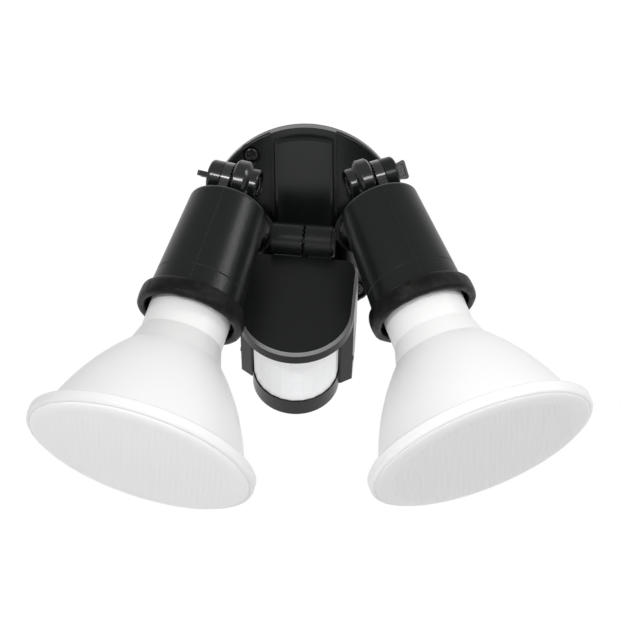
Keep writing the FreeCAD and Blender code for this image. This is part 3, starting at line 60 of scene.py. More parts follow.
# %% Places and directions
def frame_along(origin, x_axis, z_axis):
    """World matrix whose X and Z axes point along the given directions."""
    z = Vector(z_axis).normalized()
    y = z.cross(Vector(x_axis)).normalized()
    x = y.cross(z)
    matrix = Matrix((x, y, z)).transposed().to_4x4()
    matrix.translation = Vector(origin)
    return matrix


LAMP_FRAMES = {}
for side, outward in (("left", 1), ("right", -1)):
    tilt = JOINTS[f"{side}_tilt"]
    aim = JOINTS[f"{side}_lamp_turn"]["axis"]
    LAMP_FRAMES[side] = frame_along(tilt["pos_m"], Vector(tilt["axis"]) * outward, aim)
LENS_AXIS_FORWARD = 45.0 * MM
knob_down = Vector(JOINTS["light_turn"]["axis"])
sensor_tilt = JOINTS["sensor_tilt"]
HEAD_FRAME = frame_along(sensor_tilt["pos_m"], sensor_tilt["axis"], -knob_down)
LENS_FRAME = HEAD_FRAME @ Matrix.Translation((0, -LENS_AXIS_FORWARD, 0))
print("lamp aims:", [tuple(round(c, 3) for c in m.col[2][:3]) for m in LAMP_FRAMES.values()])

# %% [markdown]
# ## Studio
# The camera stands a little above the light and looks slightly down at it, from about
# 1.1 m with a long lens, so the two lamps keep almost the same size. Its place is worked
# out from the turn, height, roll and distance that match the picture's view.

# %% Camera
CAMERA_TURN = math.radians(0.54)
CAMERA_RISE = math.radians(18.74)
CAMERA_ROLL = math.radians(-0.90)
CAMERA_REACH = 1.10455
CAMERA_TARGET = Vector((2.22, -10.0, -52.47)) * MM
FOCAL_PIXELS = 1874.61
IMAGE_PIXELS = 620
SENSOR_WIDTH = 36.0

camera_data = bpy.data.cameras.new("studio_camera")
camera_data.sensor_width = SENSOR_WIDTH
camera_data.lens = FOCAL_PIXELS / IMAGE_PIXELS * SENSOR_WIDTH
camera_data.clip_start = 0.05
camera = bpy.data.objects.new("studio_camera", camera_data)
bpy.context.scene.collection.objects.link(camera)
back = Vector((math.sin(CAMERA_TURN) * math.cos(CAMERA_RISE),
               -math.cos(CAMERA_TURN) * math.cos(CAMERA_RISE),
               math.sin(CAMERA_RISE)))
level = (-back).cross(Vector((0, 0, 1))).normalized()
upright = level.cross(-back)
right = level * math.cos(CAMERA_ROLL) + upright * math.sin(CAMERA_ROLL)
up = upright * math.cos(CAMERA_ROLL) - level * math.sin(CAMERA_ROLL)
camera_matrix = Matrix((right, up, back)).transposed().to_4x4()
camera_matrix.translation = CAMERA_TARGET + back * CAMERA_REACH
camera.matrix_world = camera_matrix
bpy.context.scene.camera = camera
print("lens:", round(camera_data.lens, 2), "mm")

# %% [markdown]
# The floor and backdrop are plain white to the camera and in reflections, and a pale
# matt surface to every other ray, so they send soft light back onto the black plastic
# without being bright lamps themselves.

# %% Floor and backdrop
def studio_material():
    """White to the camera and in mirror images, pale paper to all other light."""
    material = bpy.data.materials.new("studio_white")
    material.use_nodes = True
    tree = material.node_tree
    tree.nodes.clear()
    paper = tree.nodes.new("ShaderNodeBsdfDiffuse")
    paper.inputs["Color"].default_value = (0.80, 0.80, 0.80, 1)
    white = tree.nodes.new("ShaderNodeEmission")
    path = tree.nodes.new("ShaderNodeLightPath")
    glossy = tree.nodes.new("ShaderNodeMath")
    glossy.operation = "MAXIMUM"
    clear = tree.nodes.new("ShaderNodeMath")
    clear.operation = "MAXIMUM"
    mix = tree.nodes.new("ShaderNodeMixShader")
    out = tree.nodes.new("ShaderNodeOutputMaterial")
    link = tree.links.new
    link(path.outputs["Is Camera Ray"], glossy.inputs[0])
    link(path.outputs["Is Glossy Ray"], glossy.inputs[1])
    link(glossy.outputs[0], clear.inputs[0])
    link(path.outputs["Is Transmission Ray"], clear.inputs[1])
    link(clear.outputs[0], mix.inputs[0])
    link(paper.outputs[0], mix.inputs[1])
    link(white.outputs[0], mix.inputs[2])
    link(mix.outputs[0], out.inputs["Surface"])
    return material


def studio_sheet(name, size, place, turn):
    """A flat square of studio paper that isn't part of the object."""
    bpy.ops.object.select_all(action="DESELECT")
    bpy.ops.mesh.primitive_plane_add(size=size, location=place, rotation=turn)
    sheet = bpy.context.object
    sheet.name = name
    sheet.data.materials.append(STUDIO)
    return sheet


STUDIO = studio_material()
SHEET_SIZE = 6.0
FLOOR_DROP = 0.42
BACKDROP_AWAY = 2.40
WORLD_STRENGTH = 0.53
studio_sheet("studio_floor", SHEET_SIZE, (0, 0, -FLOOR_DROP), (0, 0, 0))
studio_sheet("studio_backdrop", SHEET_SIZE, (0, BACKDROP_AWAY, 0), (math.pi / 2, 0, 0))
world = bpy.data.worlds.new("studio_world")
world.use_nodes = True
world.node_tree.nodes["Background"].inputs["Color"].default_value = (1, 1, 1, 1)
world.node_tree.nodes["Background"].inputs["Strength"].default_value = WORLD_STRENGTH
bpy.context.scene.world = world
bpy.context.scene.view_settings.view_transform = "Standard"

# %% [markdown]
# Four lamps light the object at a plain level. Two small ones stand high in front, left
# and right of the camera, and draw the bright bands along the knuckles. A large weak one
# below them fills the lamps' front lenses. The last stands at the right, and its mirror
# image is the narrow streak down the left holder.

# %% Lights
def soft_light(name, place, target, size, power):
    """A rectangular lamp that looks at its target."""
    data = bpy.data.lights.new(name, "AREA")
    data.shape = "RECTANGLE"
    data.size, data.size_y = size
    data.energy = power
    light = bpy.data.objects.new(name, data)
    bpy.context.scene.collection.objects.link(light)
    aim = (Vector(target) - Vector(place)).to_track_quat("-Z", "Y")
    light.matrix_world = Matrix.Translation(place) @ aim.to_matrix().to_4x4()
    return light


LIGHT_TARGET = Vector((0, -0.09, -0.02))
LIGHT_REACH = 1.2
for name, turn, rise, size, power in (
        ("front_left_light", -25, 33, (0.32, 0.11), 4.1),
        ("front_right_light", 27, 33, (0.32, 0.11), 2.8),
        ("low_front_light", -6, -16, (1.00, 0.80), 2.0),
        ("side_light", 84, 35, (0.20, 0.50), 2.9)):
    turn, rise = math.radians(turn), math.radians(rise)
    toward = Vector((math.sin(turn) * math.cos(rise), -math.cos(turn) * math.cos(rise),
                     math.sin(rise)))
    soft_light(name, LIGHT_TARGET + toward * LIGHT_REACH, LIGHT_TARGET, size, power)

# %% [markdown]
# ## Shared effects
# Moulded plastic is never perfectly even. One node group gives every finish its fine
# grain and a slow change of colour and gloss over the surface, with amounts set by each
# material.

# %% Surface group
def new_group(name, inputs, outputs):
    """An empty shader group with its named sockets, and its two end nodes."""
    group = bpy.data.node_groups.new(name, "ShaderNodeTree")
    for label, kind, value in inputs:
        socket = group.interface.new_socket(label, in_out="INPUT", socket_type=kind)
        socket.default_value = value
    for label, kind in outputs:
        group.interface.new_socket(label, in_out="OUTPUT", socket_type=kind)
    begin = group.nodes.new("NodeGroupInput")
    end = group.nodes.new("NodeGroupOutput")
    return group, begin, end


def math_node(group, operation, first, second=None, clamp=False):
    """A Math node whose inputs are links or plain numbers."""
    node = group.nodes.new("ShaderNodeMath")
    node.operation = operation
    node.use_clamp = clamp
    for place, value in enumerate((first, second)):
        if value is None:
            continue
        if isinstance(value, (int, float)):
            node.inputs[place].default_value = value
        else:
            group.links.new(value, node.inputs[place])
    return node.outputs[0]


def surface_group():
    """Colour, roughness and height of an even material with grain and slow variation."""
    group, begin, end = new_group(
        "moulded_surface",
        (("Color", "NodeSocketColor", (0.5, 0.5, 0.5, 1)),
         ("Roughness", "NodeSocketFloat", 0.4),
         ("Grain Scale", "NodeSocketFloat", 900.0),
         ("Patch Scale", "NodeSocketFloat", 22.0),
         ("Variation", "NodeSocketFloat", 0.08)),
        (("Color", "NodeSocketColor"), ("Roughness", "NodeSocketFloat"),
         ("Height", "NodeSocketFloat")))
    nodes, link = group.nodes, group.links.new
    place = nodes.new("ShaderNodeTexCoord")
    grain = nodes.new("ShaderNodeTexNoise")
    grain.inputs["Detail"].default_value = 3.0
    patch = nodes.new("ShaderNodeTexNoise")
    patch.inputs["Detail"].default_value = 4.0
    link(place.outputs["Object"], grain.inputs["Vector"])
    link(place.outputs["Object"], patch.inputs["Vector"])
    link(begin.outputs["Grain Scale"], grain.inputs["Scale"])
    link(begin.outputs["Patch Scale"], patch.inputs["Scale"])
    centred = math_node(group, "SUBTRACT", patch.outputs["Fac"], 0.5)
    swing = math_node(group, "MULTIPLY", centred, begin.outputs["Variation"])
    shade = nodes.new("ShaderNodeVectorMath")
    shade.operation = "SCALE"
    link(begin.outputs["Color"], shade.inputs[0])
    link(math_node(group, "ADD", swing, 1.0), shade.inputs["Scale"])
    link(shade.outputs[0], end.inputs["Color"])
    link(math_node(group, "ADD", begin.outputs["Roughness"], swing), end.inputs["Roughness"])
    link(grain.outputs["Fac"], end.inputs["Height"])
    return group


SURFACE = surface_group()
print("group sockets:", [item.name for item in SURFACE.interface.items_tree])

# %% [markdown]
# Corners of used plastic and metal are a little lighter and smoother than the faces. On the black pieces this
# lighter corner tone is partly real wear and partly a painted highlight along the edges.
# The Bevel node rounds the normal near a corner, so where it differs from the true
# normal there is an edge. A noise breaks that line up, as real wear is.

# %% Edge wear group
def edge_wear_and_highlight_group():
    """A mask that is 1 on corners and 0 on faces, for wear and a painted edge highlight."""
    group, begin, end = new_group(
        "edge_wear_and_highlight",
        (("Gain", "NodeSocketFloat", 3.0), ("Break Up", "NodeSocketFloat", 260.0)),
        (("Mask", "NodeSocketFloat"),))
    nodes, link = group.nodes, group.links.new
    rounded = nodes.new("ShaderNodeBevel")
    rounded.samples = 6
    rounded.inputs["Radius"].default_value = 0.45 * MM
    true = nodes.new("ShaderNodeNewGeometry")
    match = nodes.new("ShaderNodeVectorMath")
    match.operation = "DOT_PRODUCT"
    link(rounded.outputs["Normal"], match.inputs[0])
    link(true.outputs["Normal"], match.inputs[1])
    place = nodes.new("ShaderNodeTexCoord")
    noise = nodes.new("ShaderNodeTexNoise")
    noise.inputs["Detail"].default_value = 3.0
    link(place.outputs["Object"], noise.inputs["Vector"])
    link(begin.outputs["Break Up"], noise.inputs["Scale"])
    corner = math_node(group, "SUBTRACT", 1.0, match.outputs["Value"])
    strong = math_node(group, "MULTIPLY", corner, begin.outputs["Gain"], clamp=True)
    broken = math_node(group, "MULTIPLY_ADD", noise.outputs["Fac"], 2.2, clamp=True)
    broken.node.inputs[2].default_value = -0.5
    link(math_node(group, "MULTIPLY", strong, broken, clamp=True), end.inputs["Mask"])
    return group


EDGE_WEAR_AND_HIGHLIGHT = edge_wear_and_highlight_group()
print("edge wear nodes:", len(EDGE_WEAR_AND_HIGHLIGHT.nodes))

# %% [markdown]
# The front of each lamp is pressed glass with fine straight ribs inside a smooth
# margin. The ribs are a cosine wave across the lens in its own frame, faded out at the
# margin, and the group gives their height for a Bump node.

# %% Lens rib group
def lens_rib_group():
    """Height of straight ribs along Y, inside a round field."""
    group, begin, end = new_group(
        "lens_ribs",
        (("Vector", "NodeSocketVector", (0, 0, 0)),
         ("Pitch", "NodeSocketFloat", 2.9 * MM),
         ("Field", "NodeSocketFloat", 50.5 * MM)),
        (("Height", "NodeSocketFloat"), ("Field", "NodeSocketFloat")))
    nodes, link = group.nodes, group.links.new
    parts = nodes.new("ShaderNodeSeparateXYZ")
    link(begin.outputs["Vector"], parts.inputs[0])
    turns = math_node(group, "DIVIDE", parts.outputs["X"], begin.outputs["Pitch"])
    wave = math_node(group, "COSINE", math_node(group, "MULTIPLY", turns, 2 * math.pi))
    across = math_node(group, "MULTIPLY", parts.outputs["X"], parts.outputs["X"])
    along = math_node(group, "MULTIPLY", parts.outputs["Y"], parts.outputs["Y"])
    reach = math_node(group, "SQRT", math_node(group, "ADD", across, along))
    inside = math_node(group, "SUBTRACT", begin.outputs["Field"], reach)
    field = math_node(group, "MULTIPLY", inside, 1 / (0.8 * MM), clamp=True)
    link(math_node(group, "MULTIPLY", wave, field), end.inputs["Height"])
    link(field, end.inputs["Field"])
    return group


RIBS = lens_rib_group()
print("rib sockets:", [item.name for item in RIBS.interface.items_tree])

# %% [markdown]
# The sensor's lens is a sheet of small lenses in rows and columns. Each one is a slight
# dome, and thin grooves part them. The group reads the angle round the lens's axis and
# the height along it.

# %% Lens segment group
def lens_segment_group():
    """Height and groove mask of rows and columns of small lenses."""
    group, begin, end = new_group(
        "lens_segments",
        (("Vector", "NodeSocketVector", (0, 0, 0)),
         ("Columns", "NodeSocketFloat", 12.0),
         ("Row", "NodeSocketFloat", 7.0 * MM)),
        (("Height", "NodeSocketFloat"), ("Groove", "NodeSocketFloat")))
    nodes, link = group.nodes, group.links.new
    parts = nodes.new("ShaderNodeSeparateXYZ")
    link(begin.outputs["Vector"], parts.inputs[0])
    angle = math_node(group, "ARCTAN2", parts.outputs["Y"], parts.outputs["X"])
    half_turns = math_node(group, "DIVIDE", angle, math.pi)
    column = math_node(group, "MULTIPLY", half_turns, begin.outputs["Columns"])
    row = math_node(group, "DIVIDE", parts.outputs["Z"], begin.outputs["Row"])
    side = math_node(group, "PINGPONG", column, 0.5)
    tier = math_node(group, "PINGPONG", row, 0.5)
    nearest = math_node(group, "MINIMUM", side, tier)
    groove = math_node(group, "SUBTRACT", 1.0,
                       math_node(group, "MULTIPLY", nearest, 16.0, clamp=True))
    dome = math_node(group, "MULTIPLY", side, tier)
    link(dome, end.inputs["Height"])
    link(groove, end.inputs["Groove"])
    return group


SEGMENTS = lens_segment_group()
print("segment sockets:", [item.name for item in SEGMENTS.interface.items_tree])

# %% [markdown]
# ## Finishes
# Most finishes here are one moulded or metal surface with its own colour, gloss and
# grain, so one function builds them from a short table. The shader's plain values stay
# on the shader itself, and each finish keeps its nodes by name for later steps.

# %% Basic finishes
def finish(name, color, roughness, grain=900.0, depth=0.03, variation=0.08, metallic=0.0,
           coat=0.0, specular=0.5, patch=22.0, edge=0.25, wear_and_highlight=0.0, wear_and_highlight_tone=(0.5, 0.5, 0.5)):
    """One moulded or metal surface: grain, slow variation, soft edges, and a corner tone that is partly wear and
    partly a painted edge highlight.
    """
    material = bpy.data.materials.new(name)
    material.use_nodes = True
    tree = material.node_tree
    link = tree.links.new
    shader = tree.nodes["Principled BSDF"]
    shader.inputs["Metallic"].default_value = metallic
    shader.inputs["Coat Weight"].default_value = coat
    shader.inputs["Coat Roughness"].default_value = 0.15
    shader.inputs["Specular IOR Level"].default_value = specular
    surface = tree.nodes.new("ShaderNodeGroup")
    surface.node_tree = SURFACE
    surface.inputs["Color"].default_value = (*color, 1)
    surface.inputs["Roughness"].default_value = roughness
    surface.inputs["Grain Scale"].default_value = grain
    surface.inputs["Patch Scale"].default_value = patch
    surface.inputs["Variation"].default_value = variation
    bump = tree.nodes.new("ShaderNodeBump")
    bump.name = "relief"
    bump.inputs["Strength"].default_value = depth
    bump.inputs["Distance"].default_value = 0.6 * MM
    soft_edge = tree.nodes.new("ShaderNodeBevel")
    soft_edge.samples = 6
    soft_edge.inputs["Radius"].default_value = edge * MM
    tint = tree.nodes.new("ShaderNodeMix")
    tint.name = "tint"
    tint.data_type = "RGBA"
    tint.inputs["B"].default_value = (*wear_and_highlight_tone, 1)
    edges = tree.nodes.new("ShaderNodeGroup")
    edges.node_tree = EDGE_WEAR_AND_HIGHLIGHT
    # Corner tone: partly wear, partly a painted highlight along the edges.
    link(math_node(tree, "MULTIPLY", edges.outputs["Mask"], wear_and_highlight), tint.inputs["Factor"])
    link(surface.outputs["Color"], tint.inputs["A"])
    link(tint.outputs["Result"], shader.inputs["Base Color"])
    link(surface.outputs["Roughness"], shader.inputs["Roughness"])
    link(surface.outputs["Height"], bump.inputs["Height"])
    link(soft_edge.outputs["Normal"], bump.inputs["Normal"])
    link(bump.outputs["Normal"], shader.inputs["Normal"])
    return material


# Lighter black for the corners: partly wear, partly a painted edge highlight.
BLACK_WEAR_AND_HIGHLIGHT = (0.055, 0.058, 0.056)
WHITE_WORN = (0.80, 0.80, 0.79)
METAL_WORN = (0.92, 0.91, 0.88)
FINISHES = {
    "black_plastic": finish("black_plastic", (0.0080, 0.0093, 0.0088), 0.27, depth=0.05,
                            specular=0.25, wear_and_highlight=0.5, wear_and_highlight_tone=BLACK_WEAR_AND_HIGHLIGHT),
    # The hood's light grey corners are partly wear and partly a painted highlight along its edges.
    "black_hood": finish("black_hood", (0.0095, 0.0110, 0.0102), 0.33, depth=0.10,
                         specular=0.22, edge=0.8, wear_and_highlight=1.0,
                         wear_and_highlight_tone=(0.13, 0.135, 0.13)),
    "black_rubber": finish("black_rubber", (0.020, 0.021, 0.020), 0.55, grain=600.0,
                           depth=0.20, variation=0.5, specular=0.30, patch=120.0),
    "grey_foam": finish("grey_foam", (0.05, 0.05, 0.05), 0.95, grain=1400.0, depth=0.5,
                        variation=0.3),
    "zinc_steel": finish("zinc_steel", (0.60, 0.60, 0.57), 0.36, metallic=1.0,
                         variation=0.2, wear_and_highlight=0.6, wear_and_highlight_tone=METAL_WORN),
    "black_steel": finish("black_steel", (0.06, 0.06, 0.065), 0.25, metallic=1.0,
                          wear_and_highlight=0.7, wear_and_highlight_tone=(0.30, 0.30, 0.29)),
    "bright_nickel": finish("bright_nickel", (0.86, 0.84, 0.80), 0.24, metallic=1.0,
                            variation=0.30, patch=300.0, wear_and_highlight=0.8, wear_and_highlight_tone=METAL_WORN),
    "brass": finish("brass", (0.78, 0.58, 0.28), 0.28, metallic=1.0, variation=0.15,
                    wear_and_highlight=0.5, wear_and_highlight_tone=(0.90, 0.76, 0.45)),
    "socket_white": finish("socket_white", (0.80, 0.79, 0.75), 0.25, variation=0.05),
    "lamp_white": finish("lamp_white", (0.90, 0.90, 0.895), 0.32, variation=0.03,
                         wear_and_highlight=0.3, wear_and_highlight_tone=WHITE_WORN),
    "lamp_frost": finish("lamp_frost", (0.860, 0.860, 0.855), 0.40, variation=0.035,
                         patch=40.0, depth=0.02, wear_and_highlight=0.2, wear_and_highlight_tone=WHITE_WORN),
    "lens_white": finish("lens_white", (0.88, 0.895, 0.925), 0.26, variation=0.03),
    "board_green": finish("board_green", (0.02, 0.16, 0.07), 0.3),
    "relay_blue": finish("relay_blue", (0.04, 0.10, 0.30), 0.35),
    "block_grey": finish("block_grey", (0.45, 0.45, 0.43), 0.5, variation=0.1),
}
print("finishes:", len(FINISHES))

# %% [markdown]
# ## Tools for single pieces
# Some pieces need more than the table gives. These short functions turn Object
# coordinates into a piece's own frame with a Mapping node set to Texture, compare a
# normal with a direction, make a smooth step of a value, and lay a second relief or
# colour over a finish.

# %% Finish tools
def own_frame(tree, matrix):
    """Object coordinates seen from the frame of one piece."""
    place = tree.nodes.new("ShaderNodeTexCoord")
    mapping = tree.nodes.new("ShaderNodeMapping")
    mapping.vector_type = "TEXTURE"
    mapping.inputs["Location"].default_value = matrix.to_translation()
    mapping.inputs["Rotation"].default_value = matrix.to_euler("XYZ")
    tree.links.new(place.outputs["Object"], mapping.inputs["Vector"])
    return mapping.outputs["Vector"]


def add_relief(tree, height, strength, distance):
    """A second Bump node after the grain, in front of the shader."""
    shader = tree.nodes["Principled BSDF"]
    relief = tree.nodes.new("ShaderNodeBump")
    relief.inputs["Strength"].default_value = strength
    relief.inputs["Distance"].default_value = distance
    tree.links.new(tree.nodes["relief"].outputs["Normal"], relief.inputs["Normal"])
    tree.links.new(height, relief.inputs["Height"])
    tree.links.new(relief.outputs["Normal"], shader.inputs["Normal"])


def facing(tree, normal, direction):
    """A normal's or a place's share along a direction, in the piece's own axes."""
    product = tree.nodes.new("ShaderNodeVectorMath")
    product.operation = "DOT_PRODUCT"
    product.inputs[1].default_value = direction
    tree.links.new(normal, product.inputs[0])
    return product.outputs["Value"]


def ramp(tree, value, start, stop):
    """A smooth step of a value, 0 at start and 1 at stop."""
    step = tree.nodes.new("ShaderNodeMapRange")
    step.interpolation_type = "SMOOTHSTEP"
    step.inputs["From Min"].default_value = start
    step.inputs["From Max"].default_value = stop
    tree.links.new(value, step.inputs["Value"])
    return step.outputs["Result"]


def tinted(tree, mask, color):
    """Lay a colour over a finish's base colour where the mask says so."""
    shader = tree.nodes["Principled BSDF"]
    under = shader.inputs["Base Color"].links[0].from_socket
    layer = tree.nodes.new("ShaderNodeMix")
    layer.data_type = "RGBA"
    layer.inputs["B"].default_value = (*color, 1)
    tree.links.new(mask, layer.inputs["Factor"])
    tree.links.new(under, layer.inputs["A"])
    tree.links.new(layer.outputs["Result"], shader.inputs["Base Color"])


print("tools:", [tool.__name__ for tool in (own_frame, add_relief, facing, ramp, tinted)])

# %% [markdown]
# The two front lenses and the sensor's lens add their own relief in the lens's frame, so the ribs keep their
# direction on each lamp. The sheet of the sensor's lens is thin, and a faint painted glow stands in for the light
# that comes through it.

# %% Lens finishes
PAINTED_SHADE_WHITE = (0.42, 0.42, 0.41)
GROOVE_WHITE = (0.82, 0.84, 0.87)
PAINTED_GLOW = 0.09
FACING_DOWN = (0, 0, -1)


def front_lens_finish(side, white, rib_turn, strength):
    """Frosted lens with straight ribs, turned in the plane of the rim, with painted shade where it faces down."""
    material = finish(f"{side}_front_lens", (white, white, white), 0.38, variation=0.03,
                      patch=30.0, depth=0.01)
    tree = material.node_tree
    turn = Matrix.Rotation(math.radians(rib_turn - 90), 4, "Z")
    ribs = tree.nodes.new("ShaderNodeGroup")
    ribs.node_tree = RIBS
    tree.links.new(own_frame(tree, LAMP_FRAMES[side] @ turn), ribs.inputs["Vector"])
    add_relief(tree, ribs.outputs["Height"], strength, 0.25 * MM)
    # Painted shade: the lens turns greyer where its surface faces down.
    place = tree.nodes.new("ShaderNodeTexCoord")
    down = facing(tree, place.outputs["Normal"], FACING_DOWN)
    shade = math_node(tree, "MULTIPLY", ramp(tree, down, 0.80, 0.97), 0.7)
    tinted(tree, shade, PAINTED_SHADE_WHITE)
    return material


def sensor_lens_finish():
    """Milky sheet of small lenses with thin grooves between them and a faint painted glow."""
    material = finish("sensor_front_lens", (0.95, 0.955, 0.965), 0.26, variation=0.02)
    tree = material.node_tree
    segments = tree.nodes.new("ShaderNodeGroup")
    segments.node_tree = SEGMENTS
    tree.links.new(own_frame(tree, LENS_FRAME), segments.inputs["Vector"])
    tinted(tree, math_node(tree, "MULTIPLY", segments.outputs["Groove"], 0.45), GROOVE_WHITE)
    add_relief(tree, segments.outputs["Height"], 0.3, 0.4 * MM)
    shader = tree.nodes["Principled BSDF"]
    # Painted light: the lens glows faintly though it is no lamp.
    shader.inputs["Emission Color"].default_value = (1, 1, 1, 1)
    shader.inputs["Emission Strength"].default_value = PAINTED_GLOW
    return material


LENS_FINISHES = {
    # The left lens is painted lighter and the right one darker, as painted light and shade on the same glass.
    "left_lamp_lens": front_lens_finish("left", 0.93, 81.5, 0.30),
    "right_lamp_lens": front_lens_finish("right", 0.85, 97.5, 0.75),
    "sensor_lens": sensor_lens_finish(),
}
print("lens finishes:", list(LENS_FINISHES))

# %% [markdown]
# The light falls unevenly on the two white lamps, so each bowl has its own white: the right bowl is painted
# lighter and the left one darker, as painted light and shade. The left lamp's neck and collar are painted a little
# darker than the right one's, as painted shade. Where a bowl's rim turns down, its lip has painted shade.

# %% Lamp finishes
RIM_START = (161 * MM, 163 * MM)


def bowl_finish(side, white):
    """Frosted white, with painted shade where the rim's lip turns down."""
    material = finish(f"{side}_bowl_frost_painted_light_and_shade", (white, white, white), 0.40, variation=0.035,
                      patch=40.0, depth=0.02, wear_and_highlight=0.2, wear_and_highlight_tone=WHITE_WORN)
    tree = material.node_tree
    place = tree.nodes.new("ShaderNodeTexCoord")
    # Painted shade on the rim's lip where it faces down.
    down = ramp(tree, facing(tree, place.outputs["Normal"], FACING_DOWN), 0.70, 0.95)
    parts = tree.nodes.new("ShaderNodeSeparateXYZ")
    tree.links.new(own_frame(tree, LAMP_FRAMES[side]), parts.inputs["Vector"])
    rim = ramp(tree, parts.outputs["Z"], *RIM_START)
    shade = math_node(tree, "MULTIPLY", down, rim)
    tinted(tree, math_node(tree, "MULTIPLY", shade, 0.6), PAINTED_SHADE_WHITE)
    return material


def shaded_white(name, white):
    """Plain lamp white at a darker level, as painted shade."""
    return finish(name, white, 0.32, variation=0.03, wear_and_highlight=0.3, wear_and_highlight_tone=WHITE_WORN)


LAMP_FINISHES = {
    # Painted shade: the left lamp's neck and collar are darker than the right one's.
    "left_lamp_neck": shaded_white("left_neck_painted_shade", (0.83, 0.83, 0.825)),
    "left_lamp_collar": shaded_white("left_collar_painted_shade", (0.73, 0.73, 0.725)),
    # Painted light and shade: the right bowl is lighter than the left.
    "left_lamp_bowl": bowl_finish("left", 0.860),
    "right_lamp_bowl": bowl_finish("right", 0.925),
}
print("lamp finishes:", list(LAMP_FINISHES))

# %% [markdown]
# The black pieces that catch the light are the arms, the holders' ears and the hood. The
# ears get a clear coat near the knuckle's axis, through a mask along the lamp's axis.
# The hood gets a painted highlight line where its top edge rounds over, and painted shade on its side below it.

# %% Black finishes
HOOD_UP = HEAD_FRAME.col[2][:3]
HOOD_FORWARD = -HEAD_FRAME.col[1].to_3d()
HOOD_START = (54 * MM, 57 * MM)
HOOD_PAINTED_SHADE = (0.0035, 0.0040, 0.0037)
HOOD_PAINTED_HIGHLIGHT = (0.42, 0.43, 0.42)
EAR_POLISH_FULL = 12 * MM
EAR_POLISH_END = 17 * MM


def hood_finish_with_painted_light():
    """The hood's black with a painted highlight along its rounded edge and painted shade on its side."""
    material = finish("hood_black_painted_light", (0.0095, 0.0110, 0.0102), 0.33, depth=0.10,
                      specular=0.22, edge=0.8, wear_and_highlight=0.6, wear_and_highlight_tone=BLACK_WEAR_AND_HIGHLIGHT)
    tree = material.node_tree
    rounded = tree.nodes.new("ShaderNodeBevel")
    rounded.samples = 8
    rounded.inputs["Radius"].default_value = 0.3 * MM
    local = tree.nodes.new("ShaderNodeVectorTransform")
    local.vector_type = "NORMAL"
    local.convert_from = "WORLD"
    local.convert_to = "OBJECT"
    tree.links.new(rounded.outputs["Normal"], local.inputs["Vector"])
    up = facing(tree, local.outputs["Vector"], HOOD_UP)
    # Painted highlight: a light line where the top edge rounds over.
    highlight_line = math_node(tree, "MULTIPLY", ramp(tree, up, 0.62, 0.78), ramp(tree, up, 0.985, 0.93))
    place = tree.nodes.new("ShaderNodeTexCoord")
    front = ramp(tree, facing(tree, place.outputs["Object"], HOOD_FORWARD), *HOOD_START)
    # Painted shade: the side below the edge is darker.
    side = math_node(tree, "MULTIPLY", ramp(tree, up, 0.60, 0.30), front)
    tinted(tree, side, HOOD_PAINTED_SHADE)
    tinted(tree, math_node(tree, "MULTIPLY", highlight_line, front), HOOD_PAINTED_HIGHLIGHT)
    return material


def holder_finish(side):
    """The holder's black with an ear that is coated near the knuckle's axis."""
    material = finish(f"{side}_holder_black", (0.0080, 0.0093, 0.0088), 0.31, depth=0.12,
                      specular=0.25, wear_and_highlight=0.5, wear_and_highlight_tone=BLACK_WEAR_AND_HIGHLIGHT)
    tree = material.node_tree
    place = tree.nodes.new("ShaderNodeSeparateXYZ")
    tree.links.new(own_frame(tree, LAMP_FRAMES[side]), place.inputs["Vector"])
    polish = tree.nodes.new("ShaderNodeMapRange")
    polish.inputs["From Min"].default_value = EAR_POLISH_FULL
    polish.inputs["From Max"].default_value = EAR_POLISH_END
    polish.inputs["To Min"].default_value = 1.0
    polish.inputs["To Max"].default_value = 0.0
    tree.links.new(place.outputs["Z"], polish.inputs["Value"])
    tree.links.new(polish.outputs["Result"],
                   tree.nodes["Principled BSDF"].inputs["Coat Weight"])
    return material


POLISHED_BLACK = finish("polished_black", (0.0070, 0.0082, 0.0078), 0.20, depth=0.05,
                        specular=0.55, wear_and_highlight=0.5, wear_and_highlight_tone=BLACK_WEAR_AND_HIGHLIGHT)
BLACK_FINISHES = {
    "left_holder": holder_finish("left"),
    "right_holder": holder_finish("right"),
    "left_arm": POLISHED_BLACK,
    "right_arm": POLISHED_BLACK,
    "left_thumb_screw": POLISHED_BLACK,
    "sensor_hood": hood_finish_with_painted_light(),
}
print("black finishes:", list(BLACK_FINISHES))

# %% [markdown]
# Each solid gets its own finish, or else that of the material slot which its record
# names.

# %% Hand out the finishes
OWN_FINISHES = {**BLACK_FINISHES, **LAMP_FINISHES, **LENS_FINISHES}
for subpart in RECORD["subparts"]:
    solid = NODES[subpart["node"]]
    material = OWN_FINISHES.get(subpart["node"], FINISHES[subpart["material_slot"]])
    if not solid.data.materials:
        solid.data.materials.append(material)
    for slot_number in range(len(solid.data.materials)):
        solid.data.materials[slot_number] = material
print("solids with a finish:", len(RECORD["subparts"]))

# %% [markdown]
# ## Mouth gaskets
# Each holder's mouth wears a soft rubber ring that is rolled, a little lumpy, and
# mottled by dust and handling. A noise lays the dust over the finish in patches.

# %% Rubber finish
DUST_GREY = (0.034, 0.034, 0.030)


